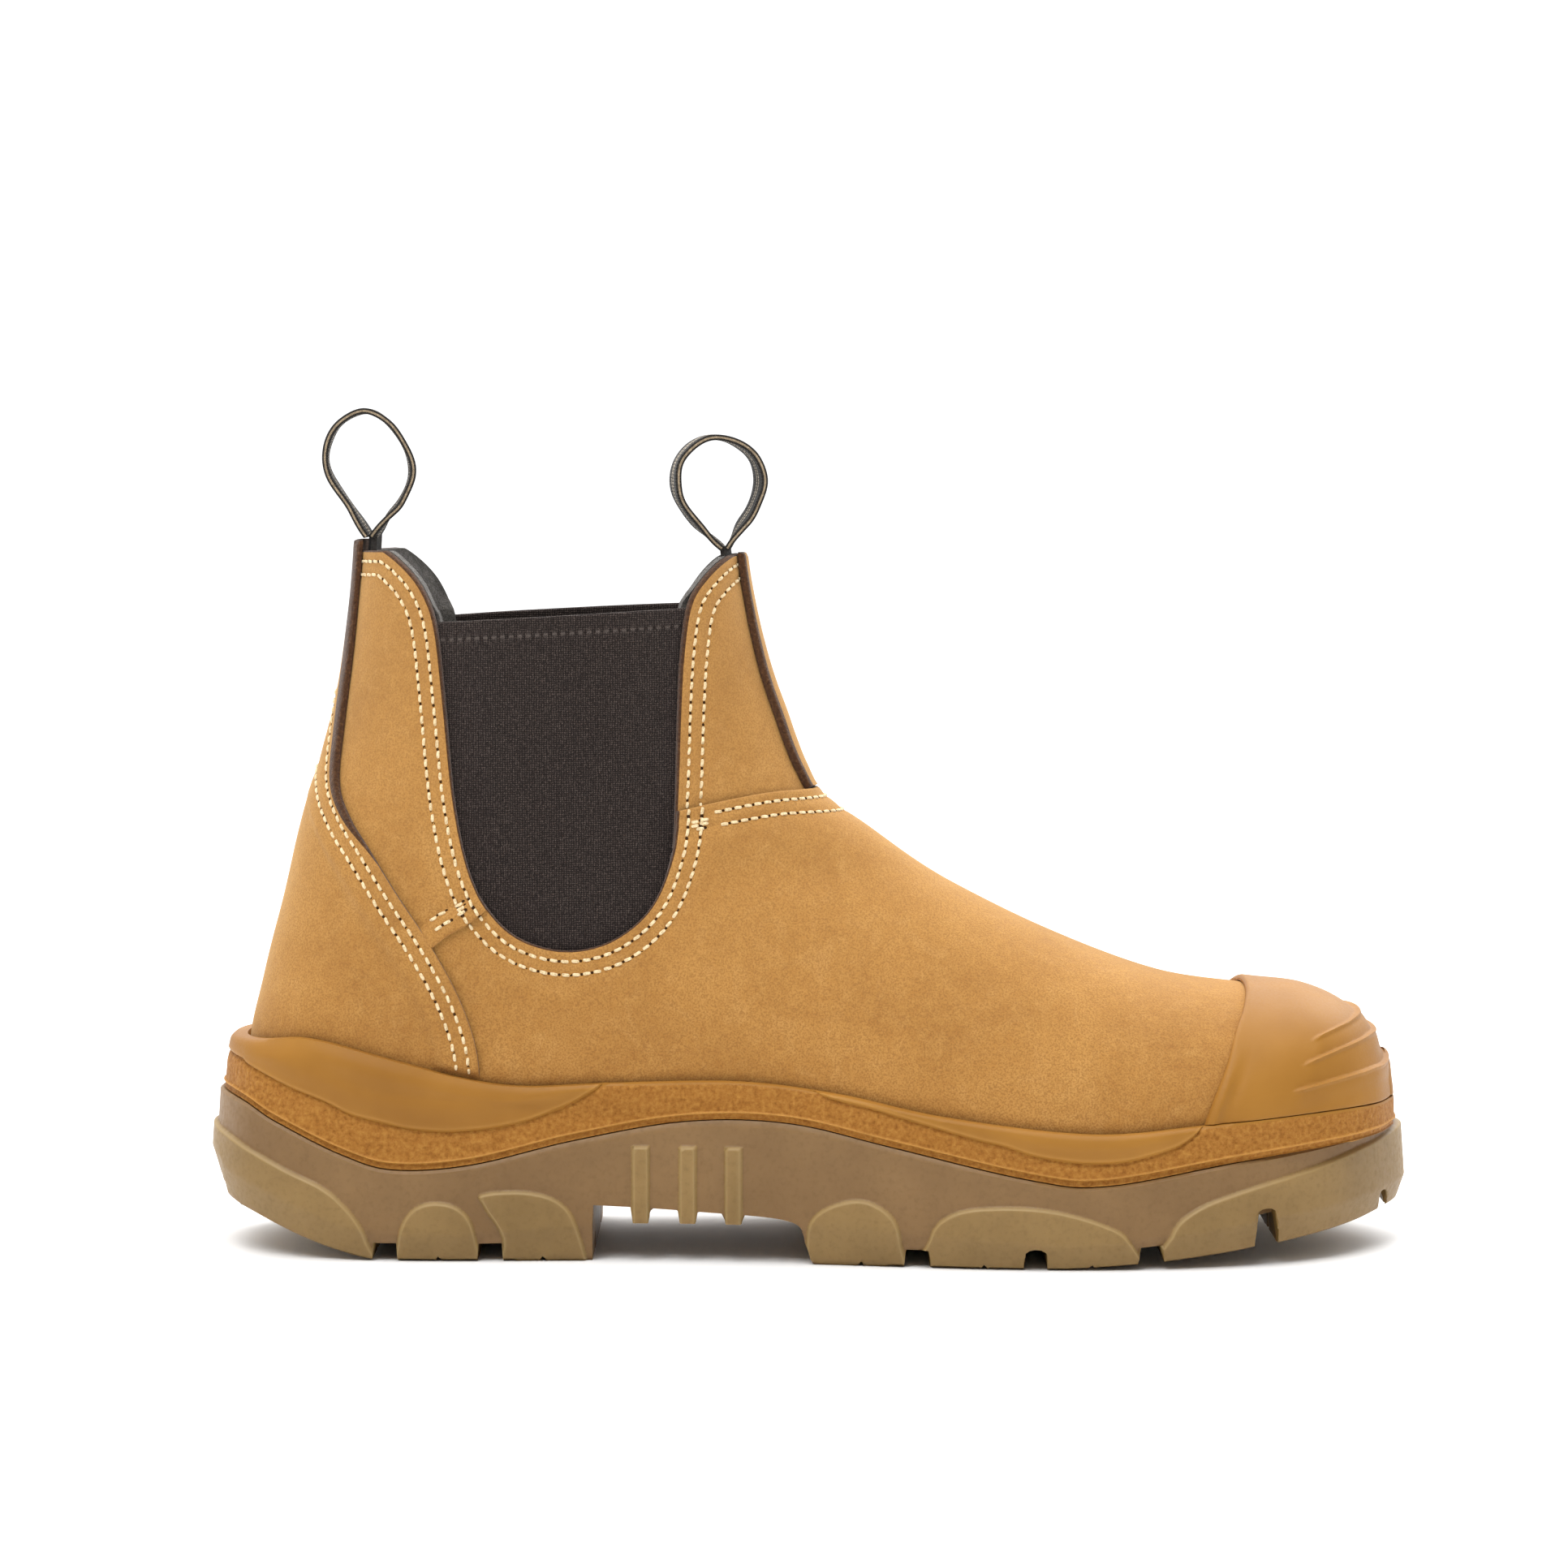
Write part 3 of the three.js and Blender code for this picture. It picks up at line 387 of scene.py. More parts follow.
def lasted_surface():
    places = np.linspace(0, len(STATIONS) - 1, (len(STATIONS) - 1) * RINGS_PER_STATION + 1)
    rings = [section_ring(place) for place in places]
    nose = []
    for k in range(1, NOSE_RINGS + 1):
        turn = k / NOSE_RINGS * np.pi / 2
        ring = TOE_TIP + (rings[0] - TOE_TIP) * max(np.cos(turn), 0.02)
        ring[:, 0] = rings[0][:, 0] + (TOE_TIP[0] - rings[0][:, 0]) * np.sin(turn)
        nose.append(ring)
    rings = nose[::-1] + rings
    points = np.vstack(rings)
    surface = Surface(points, grid_faces(len(rings), 2 * RING_HALF, closed=True))
    lateral = points[:, 1] < -20
    if surface.normals[lateral, 1].mean() > 0:
        surface = Surface(points, surface.faces[:, ::-1])
    return surface


LAST = lasted_surface()


def collar_distance(points):
    top = 181.4 - 0.03 * np.abs(points[:, 0] - 139.5)
    return np.minimum(from_line(collar, points[:, [0, 2]]), top + 2 - points[:, 2])


def counter_distance(points):
    return from_line(counter_edge, points[:, [0, 2]])


def throat_distance(points):
    return from_line(throat, points[:, [0, 2]])


def seam_distance(points):
    return from_line(quarter_seam, points[:, [0, 2]])


def cap_distance(points):
    return from_line(cap_edge, points[:, [0, 2]])


def rounded(distance, radius=0.8):
    """How far a surface drops near its cut edge."""
    share = 1 - np.clip(distance / radius, 0, 1)
    return radius * (1 - np.sqrt(np.maximum(1 - share * share, 0)))


def puckered(distance, rows, deep=0.28, wide=1.0):
    """How far leather is drawn in along its rows of stitching."""
    return sum(deep * np.exp(-(((distance - row) / wide) ** 2)) for row in rows)


def sewn_splits(surface, field, rows):
    levels = sorted({round(row + step, 3) for row in rows for step in (-1.0, -0.4, 0.4, 1.0)})
    return surface.split(field, *levels)


# ---- Objects ----


def make_object(name, points, faces, body, materials, face_material=None, sharp=42):
    mesh = bpy.data.meshes.new(name)
    faces = np.asarray(faces, np.int32)
    sides = faces.shape[1]
    mesh.vertices.add(len(points))
    mesh.vertices.foreach_set("co", ((points + SHIFT) * MM).astype(np.float32).ravel())
    mesh.loops.add(faces.size)
    mesh.loops.foreach_set("vertex_index", faces.ravel())
    mesh.polygons.add(len(faces))
    mesh.polygons.foreach_set("loop_start", np.arange(0, faces.size, sides, dtype=np.int32))
    for material in materials:
        mesh.materials.append(material)
    if face_material is not None:
        mesh.polygons.foreach_set("material_index", np.asarray(face_material, np.int32))
    mesh.update(calc_edges=True)
    mesh.validate()
    mesh.shade_smooth()
    mesh.set_sharp_from_angle(angle=np.radians(sharp))
    piece = bpy.data.objects.new(name, mesh)
    bpy.context.scene.collection.objects.link(piece)
    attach(piece, body)
    return piece


def panel(name, surface, outer, inner, skin, edge, body="boot", bare=None):
    """A closed sheet between two offsets of a surface, showing its cut edge where bare is positive."""
    count = len(surface.points)
    outside = surface.points + surface.normals * outer(surface.points)[:, None]
    inside = surface.points + surface.normals * inner(surface.points)[:, None]
    rim = surface.rim()
    a, b = rim[:, 0], rim[:, 1]
    strip = np.vstack([joined(b, a, a + count), joined(b, a + count, b + count)])
    faces = np.vstack([surface.faces, surface.faces[:, ::-1] + count, strip])
    kinds = np.repeat([0, 1, 1], [len(surface.faces), len(surface.faces), len(strip)])
    if bare:
        kinds[: len(surface.faces)] = bare(surface.points[surface.faces].mean(axis=1)) > 0
    return make_object(name, np.vstack([outside, inside]), faces, body, [skin, edge], kinds)


def mark(piece, name, values):
    """Store one number per vertex for the materials to read."""
    layer = piece.data.attributes.new(name, "FLOAT", "POINT")
    layer.data.foreach_set("value", np.asarray(values, np.float32))


# ---- Materials ----


class Look:
    """A node material in the making, with short calls for the nodes used here."""

    def __init__(self, name, roughness, **constants):
        self.material = bpy.data.materials.new(name)
        self.material.use_nodes = True
        self.tree = self.material.node_tree
        self.shader = self.tree.nodes["Principled BSDF"]
        self.shader.inputs["Roughness"].default_value = roughness
        for socket, value in constants.items():
            self.shader.inputs[socket.replace("_", " ")].default_value = value
        self.where = self.tree.nodes.new("ShaderNodeTexCoord").outputs["Object"]

    def node(self, kind, **settings):
        made = self.tree.nodes.new(kind)
        for key, value in settings.items():
            setattr(made, key, value)
        return made

    def link(self, source, target):
        self.tree.links.new(source, target)

    def noise(self, size_mm, detail=3.0, rough=0.5, stretch=None, distort=0.0):
        """Noise whose blotches are about this many millimetres across."""
        made = self.node("ShaderNodeTexNoise")
        made.inputs["Scale"].default_value = 1000 / size_mm
        made.inputs["Detail"].default_value = detail
        made.inputs["Roughness"].default_value = rough
        made.inputs["Distortion"].default_value = distort
        where = self.where
        if stretch:
            mapping = self.node("ShaderNodeMapping")
            mapping.inputs["Scale"].default_value = stretch
            self.link(where, mapping.inputs["Vector"])
            where = mapping.outputs["Vector"]
        self.link(where, made.inputs["Vector"])
        return made.outputs["Fac"]

    def wave(self, size_mm, direction="X", distort=0.0):
        made = self.node("ShaderNodeTexWave", wave_type="BANDS", bands_direction=direction)
        made.inputs["Scale"].default_value = 1000 / size_mm * 0.31416
        made.inputs["Distortion"].default_value = distort
        self.link(self.where, made.inputs["Vector"])
        return made.outputs["Fac"]

    def attribute(self, name):
        return self.node("ShaderNodeAttribute", attribute_name=name).outputs["Fac"]

    def ramp(self, source, *stops):
        """Colours, or grey levels, along a value."""
        made = self.node("ShaderNodeValToRGB")
        ramp = made.color_ramp
        while len(ramp.elements) < len(stops):
            ramp.elements.new(0.5)
        for element, (place, colour) in zip(ramp.elements, stops):
            element.position = place
            grey = isinstance(colour, (int, float))
            element.color = (colour, colour, colour, 1) if grey else (*colour, 1)
        self.link(source, made.inputs["Fac"])
        return made.outputs["Color"]

    def math(self, operation, a, b):
        made = self.node("ShaderNodeMath", operation=operation)
        for socket, value in zip(made.inputs, (a, b)):
            if isinstance(value, (int, float)):
                socket.default_value = value
            else:
                self.link(value, socket)
        return made.outputs[0]

    def mix(self, share, a, b, blend="MIX"):
        made = self.node("ShaderNodeMix", data_type="RGBA", blend_type=blend)
        for name, value in (("Factor_Float", share), ("A_Color", a), ("B_Color", b)):
            socket = next(s for s in made.inputs if s.identifier == name)
            if isinstance(value, (int, float)):
                socket.default_value = value
            elif isinstance(value, tuple):
                socket.default_value = (*value, 1)
            else:
                self.link(value, socket)
        return next(s for s in made.outputs if s.identifier == "Result_Color")

    def bump(self, *layers):
        """Relief from (height, millimetres high) layers."""
        normal = None
        for height, high_mm in layers:
            made = self.node("ShaderNodeBump")
            made.inputs["Strength"].default_value = 1.0
            made.inputs["Distance"].default_value = high_mm * MM
            self.link(height, made.inputs["Height"])
            if normal:
                self.link(normal, made.inputs["Normal"])
            normal = made.outputs["Normal"]
        self.link(normal, self.shader.inputs["Normal"])

    def colour(self, source):
        self.link(source, self.shader.inputs["Base Color"])

    def rough(self, source):
        self.link(source, self.shader.inputs["Roughness"])

    def height(self, low_mm, high_mm):
        """Height above the floor, as 0 to 1 between two levels."""
        split = self.node("ShaderNodeSeparateXYZ")
        self.link(self.where, split.inputs["Vector"])
        spread = self.node("ShaderNodeMapRange")
        spread.inputs["From Min"].default_value = low_mm * MM
        spread.inputs["From Max"].default_value = high_mm * MM
        self.link(split.outputs["Z"], spread.inputs["Value"])
        return spread.outputs["Result"]


def nubuck_look():
    look = Look("nubuck", 0.86, Sheen_Weight=0.2, Sheen_Roughness=0.5, Specular_IOR_Level=0.22)
    look.shader.inputs["Sheen Tint"].default_value = (1.0, 0.76, 0.42, 1)
    blotches = look.noise(38, 4, 0.55, distort=0.6)
    nap = look.noise(3.2, 5, 0.7)
    pores = look.noise(0.45, 3, 0.6)
    scuffs = look.noise(9, 5, 0.68, distort=1.2)
    dark, tan, light = (0.305, 0.135, 0.027), (0.370, 0.172, 0.037), (0.435, 0.215, 0.053)
    base = look.ramp(blotches, (0.3, dark), (0.5, tan), (0.7, light))
    rubbed = look.mix(look.ramp(scuffs, (0.5, 0.0), (0.72, 0.42)), base, (0.52, 0.285, 0.088))
    worn = look.mix(look.ramp(nap, (0.35, 0.0), (0.7, 0.48)), rubbed, (0.48, 0.255, 0.072))
    fine = look.mix(look.ramp(pores, (0.38, 0.6), (0.58, 0.0)), worn, (0.20, 0.083, 0.018))
    # painted light: the leather is lightened with height, standing in for the top of the boot being lit from
    # above
    painted_top_light = look.mix(look.ramp(look.height(40, 190), (0.0, 0.0), (1.0, 0.22)), fine, (0.47, 0.275, 0.10))
    look.colour(painted_top_light)
    look.rough(look.ramp(nap, (0.3, 0.78), (0.7, 0.93)))
    look.bump((blotches, 0.3), (nap, 0.2), (pores, 0.07))
    return look.material


def cut_edge_look():
    look = Look("leather_cut_edge", 0.95, Sheen_Weight=0.2, Specular_IOR_Level=0.15)
    fibre = look.noise(0.8, 5, 0.75)
    dark, brown, light = (0.028, 0.011, 0.004), (0.075, 0.031, 0.011), (0.19, 0.088, 0.034)
    look.colour(look.ramp(fibre, (0.3, dark), (0.55, brown), (0.8, light)))
    look.bump((fibre, 0.3))
    return look.material


def polyurethane_look(name, stippled):
    look = Look(name, 0.62 if stippled else 0.5, Specular_IOR_Level=0.18)
    flow = look.noise(30, 3, 0.5)
    if stippled:
        dots = look.noise(1.1, 4, 0.65)
        dark, tan, light = (0.215, 0.078, 0.010), (0.315, 0.130, 0.020), (0.42, 0.195, 0.036)
        plain = look.ramp(dots, (0.3, dark), (0.5, tan), (0.75, light))
        look.bump((dots, 0.42), (flow, 0.1))
        look.rough(look.ramp(dots, (0.3, 0.75), (0.8, 0.5)))
    else:
        fine = look.noise(0.7, 3, 0.6)
        plain = look.ramp(flow, (0.3, (0.260, 0.112, 0.016)), (0.7, (0.330, 0.150, 0.024)))
        look.bump((flow, 0.12), (fine, 0.02))
        look.rough(look.ramp(fine, (0.3, 0.44), (0.7, 0.56)))
    # painted highlight: lightened where the moulding's per-vertex mark is set, along the midsole's ridge and
    # crescent border
    look.colour(look.mix(look.attribute("painted_highlight"), plain, (0.56, 0.29, 0.07)))
    return look.material


def rubber_look(name, base, light):
    look = Look(name, 0.5, Specular_IOR_Level=0.4, Subsurface_Weight=0.12)
    look.shader.inputs["Subsurface Radius"].default_value = (0.006, 0.004, 0.002)
    look.shader.inputs["Subsurface Scale"].default_value = 1.0
    cloud = look.noise(26, 4, 0.6)
    grit = look.noise(1.4, 4, 0.6)
    clean = look.ramp(cloud, (0.3, base), (0.7, light))
    speckled = look.mix(look.ramp(grit, (0.3, 0.22), (0.5, 0.0)), clean, tuple(0.6 * c for c in base))
    # painted highlight: the rubber is lightened by a per-vertex mark along the rounded edges of the lugs,
    # where light catches
    look.colour(look.mix(look.attribute("painted_highlight"), speckled, (0.38, 0.27, 0.12)))
    look.bump((cloud, 0.15), (grit, 0.05))
    look.rough(look.ramp(grit, (0.3, 0.62), (0.7, 0.44)))
    return look.material


def elastic_look():
    look = Look("elastic", 0.92, Sheen_Weight=0.22, Sheen_Roughness=0.4, Specular_IOR_Level=0.2)
    look.shader.inputs["Sheen Tint"].default_value = (0.9, 0.8, 0.75, 1)
    rib = look.wave(0.62, "X", 3.0)
    pick = look.wave(0.55, "Z", 3.5)
    fuzz = look.noise(0.5, 4, 0.7)
    shade = look.math("MULTIPLY", look.math("ADD", rib, pick), 0.5)
    yarn = look.mix(0.55, look.ramp(shade, (0.2, 0.0), (0.9, 1.0)), look.ramp(fuzz, (0.35, 0.0), (0.7, 1.0)))
    gaps = look.ramp(look.wave(2.2, "X"), (0.35, 0.0), (0.6, 0.6))
    dashes = look.math("MULTIPLY", look.attribute("band"), gaps)
    black, brown, pale = (0.010, 0.0065, 0.0055), (0.021, 0.014, 0.012), (0.085, 0.064, 0.055)
    plain = look.ramp(yarn, (0.2, black), (0.5, brown), (0.8, pale))
    look.colour(look.mix(dashes, plain, (0.16, 0.13, 0.115)))
    look.bump((rib, 0.14), (pick, 0.10), (fuzz, 0.14))
    return look.material


def lining_look():
    look = Look("lining", 1.0, Sheen_Weight=0.5, Specular_IOR_Level=0.1)
    fuzz = look.noise(1.6, 6, 0.8)
    fibre = look.noise(0.5, 5, 0.8)
    shade = look.math("ADD", look.math("MULTIPLY", fuzz, 0.6), look.math("MULTIPLY", fibre, 0.4))
    dark, grey, light = (0.025, 0.021, 0.018), (0.12, 0.105, 0.09), (0.33, 0.30, 0.26)
    look.colour(look.ramp(shade, (0.3, dark), (0.5, grey), (0.7, light)))
    look.bump((fuzz, 0.8), (fibre, 0.4))
    return look.material


def thread_look():
    look = Look("thread", 0.7, Sheen_Weight=0.3, Specular_IOR_Level=0.3)
    ply = look.noise(0.6, 3, 0.6)
    look.colour(look.ramp(ply, (0.3, (0.50, 0.35, 0.165)), (0.6, (0.82, 0.67, 0.41))))
    look.bump((ply, 0.15))
    return look.material


def hole_shade_look():
    # painted shade: a dark disc at each needle hole stands in for the shade inside the hole
    look = Look("needle_hole_shade", 1.0, Specular_IOR_Level=0.05)
    shade = look.noise(0.5, 2)
    look.colour(look.ramp(shade, (0.3, (0.02, 0.009, 0.004)), (0.8, (0.075, 0.035, 0.014))))
    return look.material


def webbing_look():
    look = Look("webbing", 0.85, Sheen_Weight=0.08, Specular_IOR_Level=0.25)
    across, along = look.attribute("across"), look.attribute("along")
    weave = look.node("ShaderNodeTexWave", wave_type="BANDS", bands_direction="X")
    weave.inputs["Scale"].default_value = 1000 / 1.1 * 0.31416
    spot = look.node("ShaderNodeCombineXYZ")
    look.link(along, spot.inputs["X"])
    look.link(spot.outputs["Vector"], weave.inputs["Vector"])
    pick = weave.outputs["Fac"]
    fuzz = look.noise(0.5, 4, 0.7)
    black = look.ramp(fuzz, (0.3, (0.006, 0.005, 0.004)), (0.75, (0.030, 0.025, 0.021)))
    cream = look.ramp(pick, (0.2, (0.30, 0.24, 0.17)), (0.7, (0.62, 0.53, 0.40)))
    centre = look.ramp(across, (0.0, 0.0), (0.10, 0.0), (0.12, 1.0), (0.26, 1.0), (0.28, 0.0), (1.0, 0.0))
    look.colour(look.mix(centre, black, cream))
    look.bump((pick, 0.2), (fuzz, 0.15))
    return look.material


def plain_look(name, colour, dark, size, rough, high=0.1, **constants):
    look = Look(name, rough, **constants)
    grain = look.noise(size, 4, 0.65)
    look.colour(look.ramp(grain, (0.3, dark), (0.7, colour)))
    look.bump((grain, high))
    return look.material


NUBUCK = nubuck_look()
CUT_EDGE = cut_edge_look()
SMOOTH_PU = polyurethane_look("polyurethane_smooth", False)
STIPPLED_PU = polyurethane_look("polyurethane_stippled", True)
RUBBER = rubber_look("outsole_rubber", (0.165, 0.088, 0.028), (0.215, 0.120, 0.042))
LUG_RUBBER = rubber_look("lug_rubber", (0.190, 0.112, 0.032), (0.250, 0.152, 0.048))
ELASTIC_WEAVE = elastic_look()
LINING = lining_look()
THREAD = thread_look()
HOLE_SHADE = hole_shade_look()
WEBBING = webbing_look()
STEEL = plain_look("pressed_steel", (0.50, 0.51, 0.52), (0.38, 0.39, 0.40), 2.0, 0.35, 0.02, Metallic=1.0)
BOARD = plain_look("fibre_board", (0.50, 0.41, 0.29), (0.36, 0.29, 0.20), 1.2, 0.95, 0.15)
STIFFENER = plain_look("counter_board", (0.68, 0.63, 0.53), (0.55, 0.50, 0.41), 1.5, 0.9, 0.1)
STRIP = plain_look("soft_rubber", (0.035, 0.037, 0.04), (0.015, 0.016, 0.018), 1.0, 0.75, 0.08)
FOAM = plain_look("footbed_textile", (0.075, 0.08, 0.085), (0.022, 0.024, 0.027), 0.9, 0.95, 0.3,
                  Sheen_Weight=0.4)

# ---- Leather ----


BARE_WIDE = 1.6  # how wide the cut edge of a stay shows from outside
EDGE_SHOWS = 0.5  # how wide the cut edge shows along the collar
STAY_NARROWER = 2.4
STAY_BELOW_TIP = 1.4


def collar_border(points):
    return EDGE_SHOWS - collar_distance(points)


def throat_lift(points):
    """How far the vamp's edge rises over the front panels it laps."""
    return ease((throat_distance(points) + 22) / 13.5) * ease((points[:, 0] - 96) / 14)


def counter_lift(points):
    above_sole = ease((points[:, 2] - midsole_top(points[:, 0]) - 0.3) / 2.5)
    lapped = ease((counter_distance(points) + 12.5) / 4) * above_sole
    return np.maximum(lapped, ease((points[:, 2] - 85) / 38))


def quarter_lift(points):
    return ease((2.5 - seam_distance(points)) / 3.5)


def above_board(points):
    return points[:, 2] - seat(points[:, 0]) - BOARD_RISE


def above_sole(points):
    return points[:, 2] - midsole_top(points[:, 0]) - GAP


def tip_line(points):
    return 180.6 + 0.02 * (150 - points[:, 0]) - points[:, 2]


def make_vamp():
    seam_side = lambda p: np.maximum(-seam_distance(p), p[:, 0] - 72)
    behind_cover = lambda p: np.maximum(counter_distance(p) + LAP - GAP, p[:, 2] - SHOULDER)
    surface = LAST.keep(above_board).keep(collar_distance).keep(lambda p: -throat_distance(p))
    surface = surface.keep(behind_cover).keep(seam_side)
    surface = sewn_splits(surface, collar_distance, STITCH_ROWS["collar"])
    surface = sewn_splits(surface, throat_distance, STITCH_ROWS["throat"])
    surface = surface.split(throat_distance, -22, -18, -14, -10.5, -9, -8.5, -0.8, -0.4, -0.15)
    surface = surface.split(collar_distance, 0.15, 0.4, EDGE_SHOWS, 0.8)

    def outer(points):
        height = LAP_HIGH * throat_lift(points)
        height -= rounded(-throat_distance(points)) + rounded(collar_distance(points))
        height -= puckered(collar_distance(points), STITCH_ROWS["collar"])
        height -= puckered(throat_distance(points), STITCH_ROWS["throat"])
        return height - 0.35 * ease(1 - above_sole(points) / 1.5)

    def inner(points):
        return LEATHER_IN + (GAP - LEATHER_IN) * ease((throat_distance(points) + 10.5) / 1.5)

    return panel("vamp_leather", surface, outer, inner, NUBUCK, CUT_EDGE, bare=collar_border)


def make_front_panel(word, side):
    surface = LAST.keep(lambda p: side * p[:, 1] - GAP / 2)
    surface = surface.keep(collar_distance).keep(lambda p: throat_distance(p) + LAP - GAP / 2)
    surface = surface.keep(lambda p: p[:, 0] - SHAFT_MIDDLE).keep(tip_line)
    surface = sewn_splits(surface, collar_distance, STITCH_ROWS["collar"])
    surface = surface.split(collar_distance, 0.15, 0.4, EDGE_SHOWS, 0.8)

    def outer(points):
        height = -rounded(collar_distance(points)) - rounded(tip_line(points))
        return height - puckered(collar_distance(points), STITCH_ROWS["collar"])

    inner = lambda points: np.full(len(points), LEATHER_IN)
    return panel(f"front_panel_leather_{word}", surface, outer, inner, NUBUCK, CUT_EDGE,
                 bare=collar_border)


def rear_tip_line(points):
    return 183.0 - points[:, 2]


def make_back_quarter(word, side):
    surface = LAST.keep(lambda p: side * p[:, 1] - GAP / 2)
    surface = surface.keep(collar_distance).keep(lambda p: seam_distance(p) + QUARTER_LAP)
    surface = surface.keep(lambda p: 80 - p[:, 0]).keep(rear_tip_line)
    surface = surface.keep(lambda p: np.maximum(counter_distance(p) + LAP - GAP, p[:, 2] - SHOULDER))
    surface = sewn_splits(surface, collar_distance, STITCH_ROWS["collar"])
    surface = surface.split(collar_distance, 0.15, 0.4, EDGE_SHOWS, 0.8)
    surface = surface.split(seam_distance, -3.9, -3.4, -2.2, -1.4, -0.8, 0.2, 1.2, 1.8, 2.5)

    def outer(points):
        seam = seam_distance(points)
        height = QUARTER_HIGH * quarter_lift(points)
        height = height - rounded(seam + QUARTER_LAP) - rounded(collar_distance(points))
        height -= puckered(collar_distance(points), STITCH_ROWS["collar"])
        height -= puckered(seam, STITCH_ROWS["quarter"])
        return height - rounded(rear_tip_line(points))

    def inner(points):
        return LEATHER_IN + (GAP - LEATHER_IN) * ease((1.8 - seam_distance(points)) / 1.8)

    return panel(f"back_quarter_leather_{word}", surface, outer, inner, NUBUCK, CUT_EDGE,
                 bare=collar_border)


def make_counter_cover():
    surface = LAST.keep(lambda p: -counter_distance(p)).keep(above_board).keep(rear_tip_line)
    surface = sewn_splits(surface, counter_distance, STITCH_ROWS["counter"])
    surface = surface.split(counter_distance, -12.5, -10.5, -9, -8.5, -0.8, -0.4, -0.15)
    surface = surface.split(lambda p: p[:, 2] - SHOULDER, -38, -25, -12, -5, -1.5, 0)
    bare = lambda p: counter_distance(p) + BARE_WIDE * ease((p[:, 2] - 100) / 14)
    surface = surface.split(bare, 0)

    def outer(points):
        height = LAP_HIGH * counter_lift(points) - rounded(-counter_distance(points))
        height -= puckered(counter_distance(points), STITCH_ROWS["counter"]) * ease(above_sole(points))
        return height - rounded(rear_tip_line(points))

    def inner(points):
        lapped = ease((counter_distance(points) + 10.5) / 1.5) * ease(above_sole(points) / 2.5)
        stay = ease((points[:, 2] - SHOULDER + 1.5) / 1.5)
        return LEATHER_IN + (GAP - LEATHER_IN) * np.maximum(lapped, stay)

    return panel("counter_cover_leather", surface, outer, inner, NUBUCK, CUT_EDGE, bare=bare)


def make_front_stay():
    side_room = lambda p: STAY_HALF - STAY_NARROWER - np.abs(p[:, 1])
    stay_tip = lambda p: tip_line(p) - STAY_BELOW_TIP
    bare = lambda p: BARE_WIDE - side_room(p)
    surface = LAST.keep(side_room).keep(lambda p: throat_distance(p) - GAP).keep(stay_tip)
    surface = surface.keep(lambda p: p[:, 0] - SHAFT_MIDDLE)
    surface = surface.split(side_room, 0.15, 0.4, 0.8, BARE_WIDE)
    outer = lambda p: GAP + 1.8 - rounded(side_room(p)) - rounded(stay_tip(p))
    inner = lambda p: np.full(len(p), GAP)
    return panel("front_stay_leather", surface, outer, inner, NUBUCK, CUT_EDGE, bare=bare)


def make_gusset(word, side):
    inside = lambda p: 8.0 - from_line(collar, p[:, [0, 2]])
    below_top = lambda p: elastic_top(p[:, 0]) - p[:, 2]
    surface = LAST.keep(lambda p: side * p[:, 1] - 10).keep(inside).keep(below_top)
    surface = surface.split(below_top, 0.2, 0.5, 0.9, 4.1, 4.6, 5.1)

    def outer(points):
        edge = below_top(points)
        band = 0.25 * ease((4.9 - edge) / 0.6) - 0.2 * np.exp(-(((edge - 4.6) / 0.3) ** 2))
        swell = 0.5 * ease(-from_line(collar, points[:, [0, 2]]) / 14)
        return CORE_OUT + band + swell - rounded(edge, 0.6)

    def inner(points):
        swell = 0.3 * ease(-from_line(collar, points[:, [0, 2]]) / 14)
        return CORE_OUT - ELASTIC + swell + rounded(below_top(points), 0.6)

    piece = panel(f"elastic_{word}", surface, outer, inner, ELASTIC_WEAVE, ELASTIC_WEAVE)
    band = np.exp(-(((below_top(surface.points) - 4.6) / 0.4) ** 2))
    mark(piece, "band", np.append(band, np.zeros(len(surface.points))))
    return piece


def make_linings():
    inside = lambda p: p[:, 2] - seat(p[:, 0]) - BOARD_RISE - 2.0 - GAP
    seam_high = 107.0
    join = lambda p: from_line(heel_join, p[:, [0, 2]])
    above_elastic = lambda p: ease((p[:, 2] - elastic_top(p[:, 0]) - 1) / 4)
    towards_core = lambda p: ease(1 - collar_distance(p) / 6) * above_elastic(p)
    outer = lambda p: LINING_OUT + 2.0 * towards_core(p)
    inner = lambda p: LINING_IN + 1.7 * towards_core(p)
    rear = LAST.keep(inside).keep(collar_distance).keep(lambda p: -join(p) - GAP)
    rear = rear.keep(lambda p: 182.0 - p[:, 2]).split(collar_distance, 0.8, 2, 4, 6)
    vamp = LAST.keep(inside).keep(join).keep(lambda p: seam_high - p[:, 2]).keep(collar_distance)
    front = LAST.keep(collar_distance).keep(lambda p: p[:, 2] - seam_high - GAP)
    front = front.keep(lambda p: p[:, 0] - SHAFT_MIDDLE)
    front = front.keep(lambda p: 179.4 - p[:, 2]).split(collar_distance, 0.8, 2, 4, 6)
    for node, surface in (("rear_lining", rear), ("vamp_lining", vamp), ("front_lining", front)):
        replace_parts(panel(f"{node}_cloth", surface, outer, inner, LINING, LINING), node)


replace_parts(make_vamp(), "vamp")
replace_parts(make_counter_cover(), "heel_counter_cover")
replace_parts(make_front_stay(), "front_stay")
for word, side in (("lateral", -1), ("medial", 1)):
    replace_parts(make_front_panel(word, side), f"front_panel_{word}")
    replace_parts(make_back_quarter(word, side), f"back_quarter_{word}")
    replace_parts(make_gusset(word, side), f"elastic_gusset_{word}")
make_linings()

# ---- Bump cap ----

